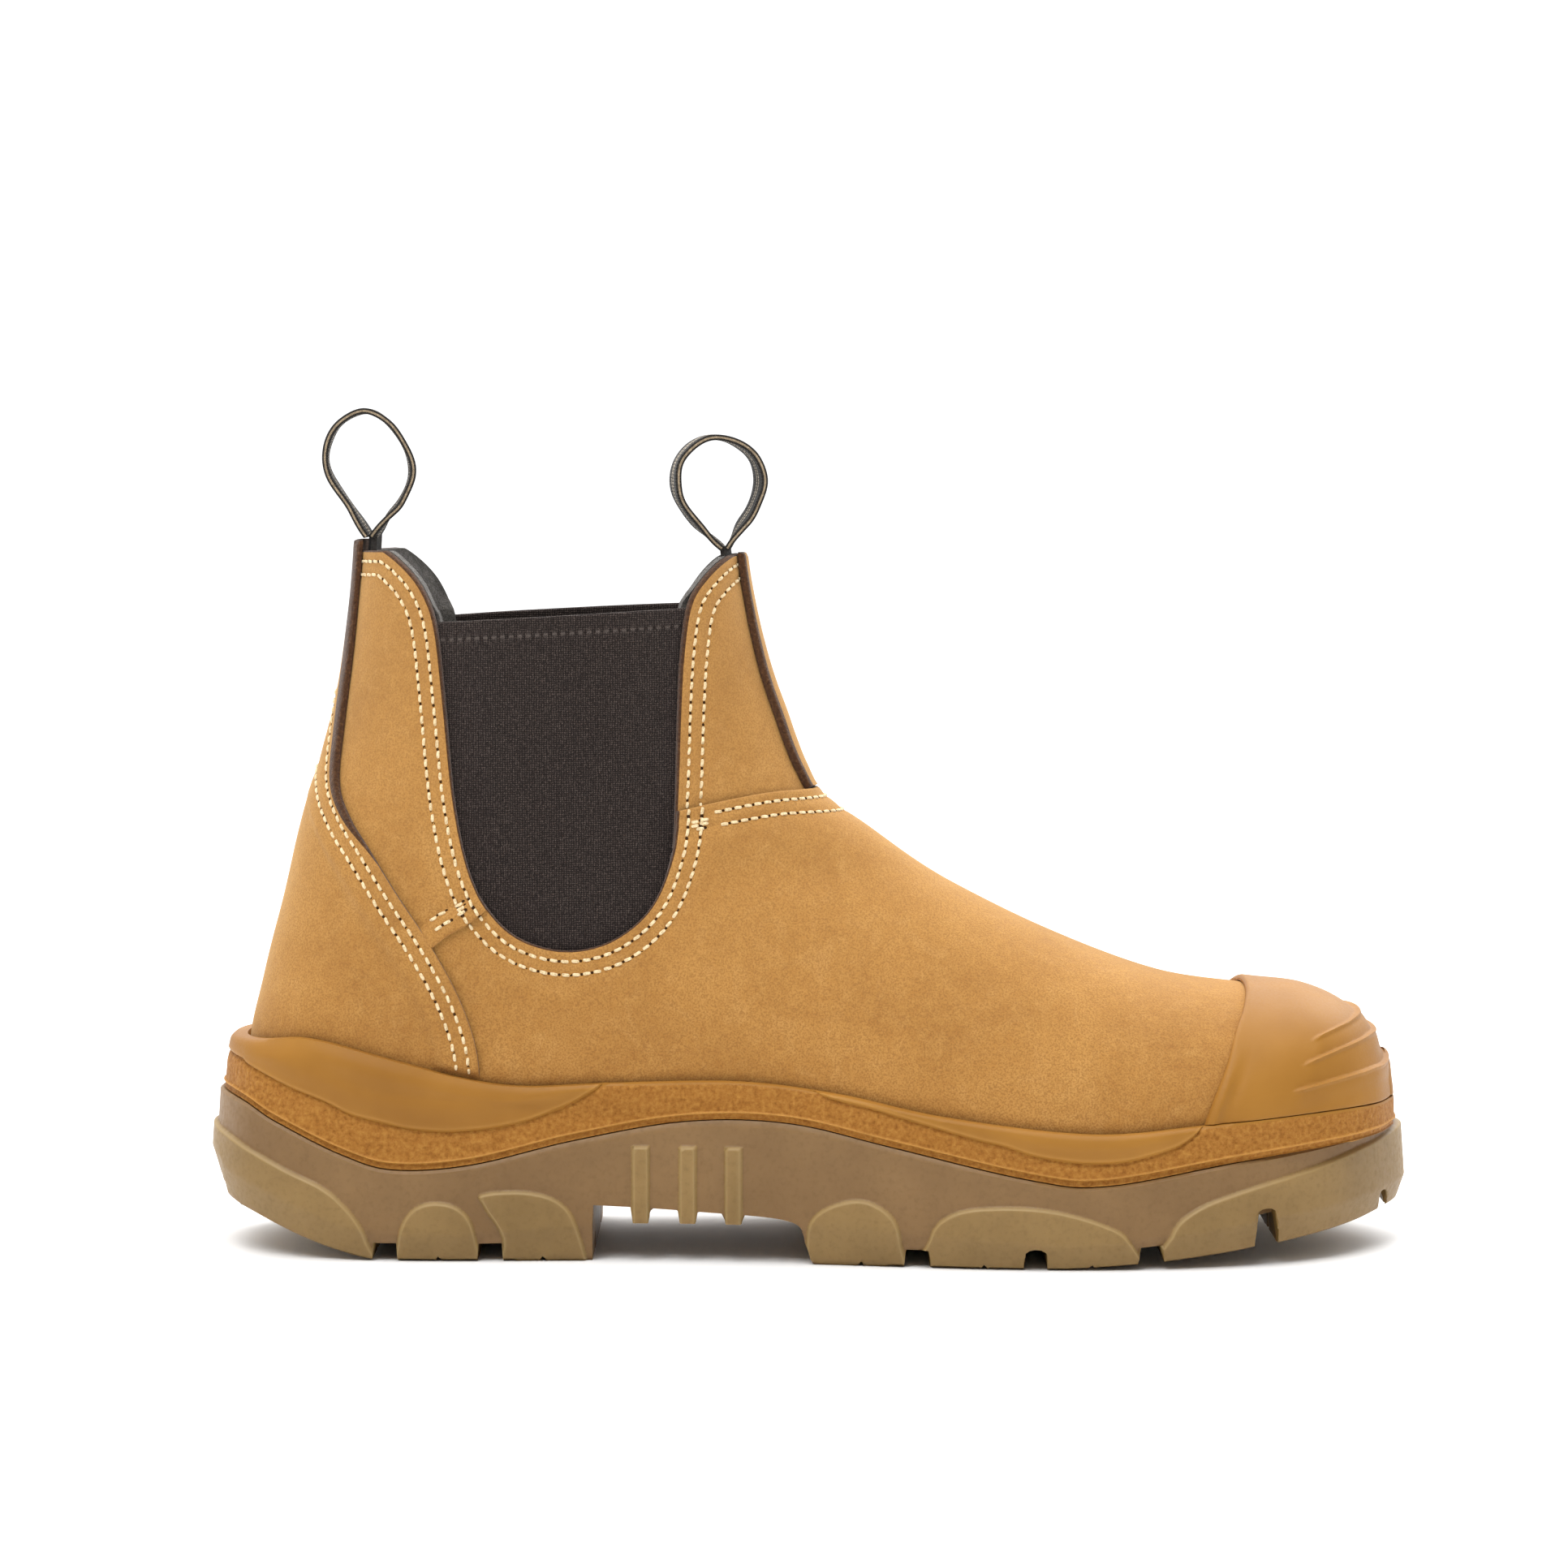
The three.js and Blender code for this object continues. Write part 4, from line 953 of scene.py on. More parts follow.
CAP_BARS = (
    curve([[281.6, 53.6], [290.5, 56], [300, 58], [325, 60]]),
    curve([[279, 48.6], [290, 51.6], [302, 54], [325, 56]]),
    curve([[276, 43], [290, 45.6], [303.5, 47.4], [325, 49]]),
)
BAR_HIGH = 0.75
BAR_FADE = 4.6  # how far below its crest a bar fades into the cap
CREST_HIGH = 0.55
CAP_DROP = 0.17  # how far the cap reaches into the gap above the midsole


def bar_distance(bar):
    return lambda p: from_line(bar, p[:, [0, 2]])


def make_bump_cap():
    surface = LAST.keep(cap_distance).keep(lambda p: above_sole(p) + CAP_DROP)
    surface = surface.split(cap_distance, 0.2, 0.5, 0.9, 1.6, 2.4, 3.2, 4.2, 5.5, 7)
    for bar in CAP_BARS:
        levels = (-BAR_FADE, -2.8, -1.4, -0.8, -0.5, -0.25, 0, 0.25, 0.5, 0.8)
        surface = surface.split(bar_distance(bar), *levels)
    surface = surface.split(above_sole, 0.25, 0.6, 1.2)

    def outer(points):
        edge = cap_distance(points)
        low = ease((56 - points[:, 2]) / 16)
        rim = 0.5 * np.exp(-(((edge - 1.8) / 1.0) ** 2))
        dip = 0.35 * np.exp(-(((edge - 4.4) / 1.3) ** 2))
        height = GAP + 1.7 + 1.2 * ease(edge / 16) + low * (rim - dip)
        height -= rounded(edge, 1.1) + rounded(above_sole(points) + CAP_DROP, 0.12)
        for bar in CAP_BARS:
            off = bar_distance(bar)(points)
            start = ease((points[:, 0] - bar[0, 0]) / 3)
            rise = np.where(off < 0, ease((off + BAR_FADE) / BAR_FADE), ease(1 - off / 0.7))
            height += (BAR_HIGH * rise + CREST_HIGH * np.exp(-((off / 0.4) ** 2))) * start
        return height

    inner = lambda p: np.full(len(p), GAP)
    return panel("bump_cap_moulding", surface, outer, inner, SMOOTH_PU, STIPPLED_PU)


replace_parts(make_bump_cap(), "bump_cap")

# ---- Stitching ----

STITCH_PITCH = 2.8
STITCH_LONG = 2.4
STITCH_RADIUS = 0.42
STITCH_RINGS = 7
STITCH_SIDES = 8
HOLE_RADIUS = 0.5


def tube_faces(rings, sides):
    """A tube of rings in order, closed by a point at each end."""
    body = grid_faces(rings, sides, closed=True)
    first, last = rings * sides, rings * sides + 1
    k = np.arange(sides)
    onward = (k + 1) % sides
    foot = joined(np.full(sides, first), onward, k)
    head = joined(np.full(sides, last), (rings - 1) * sides + k, (rings - 1) * sides + onward)
    return np.vstack([body, foot, head])


def ring_tube(centres, ups, acrosses, highs, wides):
    """Points of a tube with an oval section at each centre, and the two end points."""
    angle = np.arange(STITCH_SIDES) * 2 * np.pi / STITCH_SIDES
    around = (
        centres[:, None]
        + ups[:, None] * (highs[:, None] * np.cos(angle))[..., None]
        + acrosses[:, None] * (wides[:, None] * np.sin(angle))[..., None]
    )
    return np.vstack([around.reshape(-1, 3), centres[:1], centres[-1:]])


def along_line(points, normals, place):
    run = np.concatenate([[0], np.cumsum(np.linalg.norm(np.diff(points, axis=0), axis=1))])
    at = lambda values: np.stack([np.interp(place, run, values[:, k]) for k in range(3)], axis=1)
    return at(points), at(normals)


def stitches_on(line, lean):
    """Tubes for one run of stitching, and dark discs at its needle holes that paint the shade inside them.
    """
    points, normals = line
    total = np.linalg.norm(np.diff(points, axis=0), axis=1).sum()
    count = int(total // STITCH_PITCH)
    spare = (total - count * STITCH_PITCH) / 2
    parts = []
    share = np.linspace(-1, 1, STITCH_RINGS)
    for k in range(count):
        middle = spare + (k + 0.5) * STITCH_PITCH + rng.normal(0, 0.08)
        place = middle + share * STITCH_LONG / 2
        spots, ups = along_line(points, normals, place)
        run = np.gradient(spots, axis=0)
        run /= np.linalg.norm(run, axis=1, keepdims=True)
        acrosses = np.cross(run, ups)
        spots = spots + ups * (0.16 - 0.62 * np.abs(share) ** 3)[:, None]
        spots = spots + acrosses * (share * (lean + rng.normal(0, 0.04)))[:, None]
        size = STITCH_RADIUS * (1 - 0.45 * share**4)
        stitch = ring_tube(spots, ups, acrosses, 0.85 * size, size)
        parts.append((stitch, tube_faces(STITCH_RINGS, STITCH_SIDES), 0))
        # painted shade: a flat dark disc at the needle hole between two stitches
        hole, up = along_line(points, normals, np.array([middle + STITCH_PITCH / 2]))
        run = run[-1]
        ring = np.repeat(hole, 2, axis=0) + np.array([[-0.12], [0.04]]) * up
        side = np.cross(run, up[0])
        flat = np.repeat(run[None], 2, axis=0)
        size = np.array([HOLE_RADIUS, HOLE_RADIUS * 0.8])
        needle_hole_shade = ring_tube(ring, flat, np.repeat(side[None], 2, axis=0), size, size)
        parts.append((needle_hole_shade, tube_faces(2, STITCH_SIDES), 1))
    return parts


def merged(parts):
    points, faces, kinds, first = [], [], [], 0
    for spots, triangles, kind in parts:
        points.append(spots)
        faces.append(triangles + first)
        kinds.append(np.full(len(triangles), kind))
        first += len(spots)
    return np.vstack(points), np.vstack(faces), np.concatenate(kinds)


LOOP_CLOSED = 6.0  # ends nearer than this belong to one closed line


def longest_run(line, where):
    """The longest stretch of a line on which a field is positive."""
    points, normals = line
    good = where(points) > 0
    if good.any() and not good.all() and np.linalg.norm(points[0] - points[-1]) < LOOP_CLOSED:
        turn = -int(np.argmin(good))
        points, normals, good = (np.roll(values, turn, axis=0) for values in (points, normals, good))
    best, start = (0, 0), None
    for i, ok in enumerate(list(good) + [False]):
        if ok and start is None:
            start = i
        if not ok and start is not None:
            if i - start > best[1] - best[0]:
                best = (start, i)
            start = None
    return points[slice(*best)], normals[slice(*best)]


def sew(name, field, level, where, high, lean=0.12, node=None):
    """One row of stitching along a line of the upper, on leather of the given height."""
    runs = [longest_run(line, where) for line in LAST.lines_at(field, level)]
    runs = [run for run in runs if len(run[0]) > 3]
    points, normals = max(runs, key=lambda run: len(run[0]))
    points = points + normals * high(points)[:, None]
    spots, faces, kinds = merged(stitches_on((points, normals), lean))
    piece = make_object(name, spots, faces, "boot", [THREAD, HOLE_SHADE], kinds)
    if node:
        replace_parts(piece, node)
    return piece


PUCKER = 0.28


def collar_height(points):
    forward = points[:, 0] > 95
    over_vamp = (throat_distance(points) < 0) & forward
    vamp = LAP_HIGH * throat_lift(points) * over_vamp
    on_quarter = (seam_distance(points) > -QUARTER_LAP) & ~forward
    seam = np.where(on_quarter, QUARTER_HIGH * quarter_lift(points), 0)
    return np.maximum(vamp, seam) - PUCKER


def sew_collar(word, side):
    own_side = lambda p: side * p[:, 1] - MIDDLE_CLEAR
    below_tips = lambda p: np.minimum(178.6 - p[:, 2] + 6 * (p[:, 0] < 60), 137.6 - p[:, 0])
    where = lambda p: np.minimum(own_side(p), below_tips(p))
    for row, level in zip(("inner", "outer"), STITCH_ROWS["collar"]):
        sew(f"collar_seam_{row}_{word}", collar_distance, level, where, collar_height,
            node=f"collar_stitch_{row}_{word}")


def sew_counter(word, side):
    where = lambda p: np.minimum(np.minimum(side * p[:, 1] - 1.5, above_sole(p) - 0.6), 180 - p[:, 2])
    for row, level in zip(("inner", "outer"), STITCH_ROWS["counter"]):
        sew(f"counter_seam_{row}_{word}", counter_distance, level, where,
            lambda p: LAP_HIGH * counter_lift(p) - PUCKER, node=f"counter_stitch_{row}_{word}")


def sew_throat():
    where = lambda p: np.minimum(p[:, 0] - SHAFT_MIDDLE, collar_distance(p) - 8.6)
    for row, level in zip(("upper", "lower"), STITCH_ROWS["throat"]):
        sew(f"throat_seam_{row}", throat_distance, level, where,
            lambda p: LAP_HIGH * throat_lift(p) - PUCKER, node=f"throat_stitch_{row}")


def sew_quarter_seam(word, side):
    ahead = lambda p: np.minimum(counter_distance(p) - 1.2, collar_distance(p) - 8.2)
    where = lambda p: np.minimum(np.minimum(side * p[:, 1] - MIDDLE_CLEAR, ahead(p)), 75 - p[:, 0])
    for row, level in zip(("upper", "lower"), STITCH_ROWS["quarter"]):
        sew(f"quarter_seam_{row}_{word}", seam_distance, level, where,
            lambda p: QUARTER_HIGH * quarter_lift(p) - PUCKER)


def sew_tacks(word, side):
    """Short rows that lock the ends of the seams between the two collar rows."""
    first, last = 3.0, 8.6
    between_rows = lambda p: np.minimum(collar_distance(p) - first, last - collar_distance(p))
    own_side = lambda p: side * p[:, 1] - MIDDLE_CLEAR
    behind = lambda p: np.minimum(np.minimum(own_side(p), between_rows(p)), 75 - p[:, 0])
    ahead = lambda p: np.minimum(np.minimum(own_side(p), between_rows(p)), p[:, 0] - SHAFT_MIDDLE)
    for number, level in enumerate((-0.8, 0.2, 1.2)):
        sew(f"seam_tack_{number}_{word}", seam_distance, level, behind, collar_height)
        sew(f"throat_tack_{number}_{word}", throat_distance, level - 5, ahead, collar_height)


sew_throat()
for word, side in (("lateral", -1), ("medial", 1)):
    sew_collar(word, side)
    sew_counter(word, side)
    sew_quarter_seam(word, side)
    sew_tacks(word, side)

# ---- Sole unit ----

SOLE_SIDE_POINTS = 361
SOLE_LATERAL = [
    [0, 0], [3, 16], [12, 29], [30, 38], [60, 41], [95, 40.5], [125, 41.5], [160, 47],
    [200, 54], [235, 55.2], [265, 50], [288, 38], [303, 20], [310, 0],
]
SOLE_MEDIAL = [
    [0, 0], [3, 16], [12, 28], [30, 36.5], [60, 38.5], [95, 36.5], [125, 37], [160, 42.5],
    [200, 51.5], [235, 54.8], [265, 51], [288, 40.5], [303, 22], [310, 0],
]


def sole_outline():
    """Plan outline of the sole, heel to toe on the outer side and back on the inner one."""
    lateral = [[x, -y] for x, y in SOLE_LATERAL]
    medial = [[x, y] for x, y in SOLE_MEDIAL]
    ring = lateral + medial[-2:0:-1]
    count, lead = len(ring), 3
    wrapped = ring[-lead:] + ring + ring[: lead + 1]
    fine = smooth_at(wrapped, np.linspace(lead, lead + count, count * 40 + 1))
    toe = (len(lateral) - 1) * 40
    sides = [evenly(fine[: toe + 1], SOLE_SIDE_POINTS), evenly(fine[toe:], SOLE_SIDE_POINTS)]
    outline = np.vstack([sides[0], sides[1][1:-1]])
    along = np.roll(outline, -1, axis=0) - np.roll(outline, 1, axis=0)
    out = np.stack([along[:, 1], -along[:, 0]], axis=1)
    out /= np.linalg.norm(out, axis=1, keepdims=True)
    if (out * (outline - outline.mean(0))).sum() < 0:
        out = -out
    return outline, out


OUTLINE, OUTWARD = sole_outline()
PARTNER = (-np.arange(len(OUTLINE))) % len(OUTLINE)  # the point of equal rank on the other side


def sole_ring(inset, height):
    """One loop of points a distance inside the outline, at a height given for each X."""
    plan = OUTLINE - OUTWARD * np.broadcast_to(inset, len(OUTLINE))[:, None]
    high = height(plan[:, 0]) if callable(height) else np.broadcast_to(height, len(OUTLINE))
    return np.column_stack([plan, high])


def towards_middle(ring, height, steps):
    """Loops that close a ring across to its partner points, on a surface of the given height."""
    loops = []
    for share in np.linspace(0, 1, steps + 1)[1:]:
        loop = ring + (0.5 * (ring + ring[PARTNER]) - ring) * share
        loop[:, 2] = height(loop)
        loops.append(loop)
    return loops


def ring_surface(rings, wall):
    """A closed skin of rings; its faces point outward at the ring with the given number."""
    points = np.vstack(rings)
    faces = grid_faces(len(rings), len(rings[0]), closed=True)
    surface = Surface(points, faces)
    outer = rings[wall]
    first = wall * len(rings[0])
    facing = surface.normals[first : first + len(outer), :2]
    if (facing * OUTWARD).sum() < 0:
        surface = Surface(points, faces[:, ::-1])
    return surface


def welded(piece, distance_mm=0.02):
    mesh = bmesh.new()
    mesh.from_mesh(piece.data)
    bmesh.ops.remove_doubles(mesh, verts=mesh.verts, dist=distance_mm * MM)
    bmesh.ops.dissolve_degenerate(mesh, edges=mesh.edges, dist=distance_mm * MM / 2)
    mesh.to_mesh(piece.data)
    mesh.free()
    piece.data.shade_smooth()
    piece.data.set_sharp_from_angle(angle=np.radians(42))
    return piece


LUGS = [
    [[-5, 12], [-5, 32], [4, 31], [12, 27.5], [22, 23], [32, 18.5], [39, 12], [42.8, 5], [43, -5], [0, -5]],
    [[50.5, -5], [49.8, 6], [53, 13], [59, 15.6], [66, 14], [70, 8], [70, -5]],
    [[77, -5], [76.4, 6], [72, 13.5], [71, 17.5], [82, 18.4], [91, 16], [96, 9.5], [97.5, -5]],
    [[157, -5], [154, 8], [158, 14.5], [168, 17.4], [176, 13.5], [178.8, 6], [178.8, -5]],
    [[185.6, -5], [185, 8], [190, 14], [199, 16.2], [214, 16], [228, 12.6], [236, 7.5], [237.5, -5]],
    [[244.6, -5], [245.5, 9], [252, 15.6], [264, 20], [282, 24.5], [300, 29], [318, 30], [318, -5]],
]
GROOVES = (46.7, 73.6, 182.2, 241.2)
GROOVE_HALF = 3.3
GROOVE_DEEP = 4.6
CHANNEL_SIDE = 21.0
CHANNEL_HALF = 2.0
CHANNEL_ENDS = (10.0, 292.0)
NOTCHES = ((212, 3.0, 5.5), (270.8, 2.9, 15), (303.5, 1.5, 15.5))
NOTCH_CROWN = 2.0
NICKS = (60.4, 87.0, 168.0, 199.0, 226.0)
WAIST = (99.6, 156.0)
WAIST_TOP = height_along([[90, 14.5], [99.6, 14.5], [126, 13], [150, 11], [154, 5], [156, 0], [160, 0]])
WAIST_RIBS = (112.0, 124.0, 135.7)
RIB_HALF = 2.6
RIB_FOOT = 10.0
WALL_RAMP = 0.35  # how far the side of a groove leans


def smooth_outline(corners):
    """A closed outline with its corners eased, keeping the upright cuts of a lug straight."""
    ring = corners[-2:] + corners + corners[:3]
    return smooth_at(ring, np.linspace(2, 2 + len(corners), len(corners) * 5 + 1))[:-1]


LUG_OUTLINES = [smooth_outline(lug) for lug in LUGS]


def lug_distance(points):
    return np.max([within(lug, points[:, [0, 2]]) for lug in LUG_OUTLINES], axis=0)


def rib_distance(points):
    ribs = [RIB_HALF - np.abs(points[:, 0] - rib) for rib in WAIST_RIBS]
    in_waist = np.minimum(30 - points[:, 2], points[:, 2] - 5)
    return np.minimum(np.max(ribs, axis=0), in_waist)


def relief_distance(points):
    return np.maximum(lug_distance(points), rib_distance(points))


def groove_distance(points):
    return GROOVE_HALF - np.min([np.abs(points[:, 0] - middle) for middle in GROOVES], axis=0)


def channel_distance(points):
    ends = np.minimum(points[:, 0] - CHANNEL_ENDS[0], CHANNEL_ENDS[1] - points[:, 0])
    return np.minimum(CHANNEL_HALF - np.abs(np.abs(points[:, 1]) - CHANNEL_SIDE), ends)


def notch_distance(notch):
    return lambda p: notch[1] - np.abs(p[:, 0] - notch[0])


def nick_distance(points):
    return 0.9 - np.min([np.abs(points[:, 0] - nick) for nick in NICKS], axis=0)


def waist_distance(points):
    return np.minimum(points[:, 0] - WAIST[0], WAIST[1] - points[:, 0])


def underside(points):
    """Height of the tread, with its grooves, channels, notches and the raised waist."""
    flat = tread(points[:, 0])
    cut = ease(groove_distance(points) / WALL_RAMP) * GROOVE_DEEP
    cut = np.maximum(cut, ease(channel_distance(points) / WALL_RAMP) * GROOVE_DEEP)
    level = flat + np.maximum(cut, 1.3 * ease(nick_distance(points) / 0.9))
    for notch in NOTCHES:
        room = notch_distance(notch)(points)
        across = np.clip(1 - room / notch[1], 0, 1)
        arch = notch[2] - NOTCH_CROWN * (1 - np.sqrt(1 - across**2))
        level = np.maximum(level, ease(room / WALL_RAMP) * arch)
    waist = WAIST_TOP(points[:, 0])
    ribbed = ease(rib_distance(points * [1, 1, 0] + [0, 0, 12]) / 0.6)
    waist = waist + (np.minimum(RIB_FOOT, waist) - waist) * ribbed
    return np.maximum(level, waist * ease(waist_distance(points) / WALL_RAMP))


def cup_floor(x):
    return tread(x) + waist_rise(x) + CUP_BASE


CUP_BASE = 8.0
OUTSOLE_WALL = 4.0
RELIEF_HIGH = 1.2
RELIEF_RAMP = 1.1  # how far the side of a lug leans


def make_outsole():
    top = lambda x: outsole_top(x) - GAP / 2
    wall = []
    for share in np.linspace(0, 1, 34):
        inset = np.interp(share, [0, 0.3, 1], [2.2, 0.0, 1.0])
        inset += 0.9 * (1 - np.sqrt(1 - (1 - min(share / 0.04, 1)) ** 2))
        inset += 0.7 * (1 - np.sqrt(1 - (1 - min((1 - share) / 0.03, 1)) ** 2))
        wall.append(sole_ring(inset, lambda x: tread(x) + (top(x) - tread(x)) * share))
    below = towards_middle(wall[0], lambda p: tread(p[:, 0]), 26)
    lip = [sole_ring(inset, top) for inset in (2.6, OUTSOLE_WALL)]
    inside = [
        sole_ring(OUTSOLE_WALL, lambda x: top(x) + (cup_floor(x) - top(x)) * share)
        for share in (0.5, 1.0)
    ]
    above = towards_middle(inside[-1], lambda p: cup_floor(p[:, 0]), 8)
    surface = ring_surface(below[::-1] + wall + lip + inside + above, len(below) + len(wall) // 2)
    surface = surface.split(relief_distance, 0, 0.3, 0.6, 0.8, 1.0, 1.3)
    surface = surface.split(groove_distance, 0, WALL_RAMP).split(channel_distance, 0, WALL_RAMP)
    surface = surface.split(nick_distance, 0, 0.45, 0.85).split(waist_distance, 0, WALL_RAMP)
    for notch in NOTCHES:
        surface = surface.split(notch_distance(notch), 0, WALL_RAMP)
    surface = surface.split(lambda p: p[:, 2] - RIB_FOOT - 2.0)

    points = surface.points.copy()
    sideways = surface.normals[:, :2]
    sideways = sideways / np.maximum(np.linalg.norm(sideways, axis=1, keepdims=True), 1e-9)
    is_wall = (surface.normals[:, 2] < 0.75) & (surface.normals[:, 2] > -0.95) & outside_cup(points)
    proud = RELIEF_HIGH * ease(relief_distance(points) / RELIEF_RAMP) * is_wall
    proud = proud * ease((top(points[:, 0]) - points[:, 2]) / 0.8)
    points[:, :2] += sideways * proud[:, None]
    low = underside(points)
    under = (points[:, 2] < low) & outside_cup(points)
    points[:, 2] = np.where(under, low, points[:, 2])
    middle = surface.points[surface.faces].mean(axis=1)
    kinds = (relief_distance(middle) > 0.2) & outside_cup(middle)
    piece = make_object("outsole_moulding", points, surface.faces, "boot",
                        [RUBBER, LUG_RUBBER], kinds.astype(int))
    # painted highlight: a thin band along the rounded lug edges, stored for the rubber to be lightened there
    rim = np.exp(-(((relief_distance(surface.points) - 0.8) / 0.35) ** 2))
    mark(piece, "painted_highlight", 0.5 * rim * is_wall)
    return welded(piece)


def outside_cup(points):
    """Whether a point of the outsole is on its outer skin and not on the cup's wall or floor."""
    inner = sole_ring(OUTSOLE_WALL - 0.7, 0)[:, :2]
    in_plan = within(inner[::4], points[:, :2]) > 0
    return ~(in_plan & (points[:, 2] > cup_floor(points[:, 0]) - 0.5))


def tree_of(offset):
    points = LAST.points + LAST.normals * offset
    return BVHTree.FromPolygons(points.tolist(), LAST.faces.tolist())


def insets_of(tree, heights, start=45.0):
    """How far inside the sole's outline the upper's surface lies, at each outline point."""
    found = np.full(len(OUTLINE), np.nan)
    for k, (plan, out, high) in enumerate(zip(OUTLINE, OUTWARD, heights)):
        origin = Vector((*(plan + out * start), high))
        hit = tree.ray_cast(origin, Vector((*-out, 0)))
        if hit[0] is not None:
            found[k] = hit[3] - start
    return found


def smoothed(values, passes=6):
    for _ in range(passes):
        values = 0.5 * values + 0.25 * (np.roll(values, 1) + np.roll(values, -1))
    return values


SLEEVE = 3.2
BAND_RIDGE = 1.9  # height of the bright ridge above the outsole's edge
CRESCENT_HIGH = 1.3
UNDER_CAP = 262.0  # ahead of here the midsole's top edge meets the bump cap


def crescent_distance(points):
    x, z = points[:, 0], points[:, 2]
    heel = np.minimum(z - heel_crescent(x), x + 20)
    front = z - front_crescent(x)
    return np.maximum(heel, front)


def ridge_distance(points):
    return points[:, 2] - outsole_top(points[:, 0]) - BAND_RIDGE


def make_midsole():
    foot = lambda x: outsole_top(x) + GAP / 2
    sleeve, upper = tree_of(SLEEVE), tree_of(GAP / 2)
    rows, shares = [], np.linspace(0, 1, 26)
    lip_round = np.where(OUTLINE[:, 0] > UNDER_CAP, 0.2, 0.8)
    for share in shares:
        wall = np.full(len(OUTLINE), np.interp(share, [0, 0.5, 1], [2.2, 2.8, 4.6]))
        high = lambda x: foot(x) + (midsole_top(x) - foot(x)) * share
        for _ in range(2):
            heights = high((OUTLINE - OUTWARD * wall[:, None])[:, 0])
            wall = np.fmin(wall, insets_of(sleeve, heights))
        rows.append(sole_ring(smoothed(wall) + lip_round * ease((share - 0.93) / 0.07), high))
    top_inset = smoothed(np.nan_to_num(insets_of(upper, midsole_top(OUTLINE[:, 0]) - 1.0), nan=6.0))
    deep_inset = smoothed(np.nan_to_num(insets_of(upper, seat(OUTLINE[:, 0]) + 9.0), nan=8.0))
    lip = [
        sole_ring(top_inset - 0.6, lambda x: midsole_top(x) + 0.1),
        sole_ring(top_inset, lambda x: midsole_top(x) - 1),
    ]
    inside = [
        sole_ring(deep_inset, lambda x: seat(x) + 9),
        sole_ring(deep_inset + 5, lambda x: seat(x) + 3.6),
    ]
    above = towards_middle(inside[-1], lambda p: seat(p[:, 0]) + 3.6, 8)
    plug = lambda x: cup_floor(x) + 3 * GAP
    below = [sole_ring(OUTSOLE_WALL + GAP, foot), sole_ring(OUTSOLE_WALL + GAP, plug)]
    below += towards_middle(below[-1], lambda p: plug(p[:, 0]), 8)
    surface = ring_surface(below[::-1] + rows + lip + inside + above, len(below) + len(rows) // 2)
    surface = surface.split(crescent_distance, -0.5, 0, 0.35, 0.8, 1.5, 2.5)
    surface = surface.split(ridge_distance, -0.5, -0.2, 0, 0.2, 0.5)

    x, y, z = surface.points.T
    nearest = np.array([np.argmin(((OUTLINE - spot) ** 2).sum(axis=1)) for spot in surface.points[:, :2]])
    out = OUTWARD[nearest]
    facing = (surface.normals[:, :2] * out).sum(axis=1)
    skin = (facing > 0.2) & (z > foot(x) - 0.05)
    above_line = crescent_distance(surface.points)
    fading = ease((midsole_top(x) - z) / 5)
    pillow = 0.5 * ease(above_line / 0.8) + CRESCENT_HIGH * ease(above_line / 7) * fading
    groove = -0.45 * np.exp(-((above_line + 0.15) / 0.45) ** 2)
    ridge = 0.5 * np.exp(-((ridge_distance(surface.points) / 0.28) ** 2))
    under = -0.35 * ease(-ridge_distance(surface.points) / 0.8)
    shift = skin * (pillow + groove + ridge + under) * ease((z - foot(x)) / 0.3)
    points = surface.points.copy()
    points[:, :2] += out * shift[:, None]
    middle = surface.points[surface.faces].mean(axis=1)
    kinds = np.where(crescent_distance(middle) > 0, 0, 1)
    kinds = np.where(middle[:, 2] > midsole_top(middle[:, 0]) - 0.6, 0, kinds)
    piece = make_object("midsole_moulding", points, surface.faces, "boot",
                        [SMOOTH_PU, STIPPLED_PU], kinds)
    # painted highlight: thin bands along the crescent's lower border and the band's ridge, where the
    # polyurethane is lightened
    crescent_highlight = 0.25 * np.exp(-(((above_line - 0.8) / 0.5) ** 2))
    line = 0.6 * np.exp(-((ridge_distance(surface.points) / 0.25) ** 2))
    mark(piece, "painted_highlight", skin * np.maximum(line, crescent_highlight))
    return welded(piece)


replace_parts(make_outsole(), "outsole")
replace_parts(make_midsole(), "midsole")

# ---- Pull loops ----

WEBBING_HALF = 9.0
WEBBING_THICK = 1.5
WEBBING_COLUMNS = 15
ROOT_HALF = 0.75  # half the distance between a loop's two ends
TAIL_LONG = 14.3
LOOPS = {
    "rear": {
        "root": [41.2, 184.3],
        "spots": [[35.6, 191.5], [30.2, 200], [29.6, 206.5], [32.8, 213], [39.6, 216.3],
                  [45.8, 213.2], [50.6, 206], [51.7, 199.6], [49, 193], [45.3, 188.6]],
        "skew": (0.35, 1.0),
    },
    "front": {
        "root": [133.2, 181.2],
        "spots": [[125.6, 187.2], [120.9, 194.3], [120.6, 201.7], [123.9, 206.8], [129, 209.4],
                  [135, 208.6], [140.4, 204.6], [142.4, 198.2], [140.4, 191.2], [136.8, 185.6]],
        "skew": (0.9, 1.2),
    },
}


def webbing_section():
    """Section of the webbing as (across, thick) shares, with a narrow face at each selvedge."""
    face = np.linspace(-0.97, 0.97, WEBBING_COLUMNS)
    ends = [(1.0, 0.33), (1.0, -0.33)]
    top = [(u, 1.0) for u in face]
    bottom = [(u, -1.0) for u in face[::-1]]
    return np.array(top + ends + bottom + [(-u, -v) for u, v in ends])


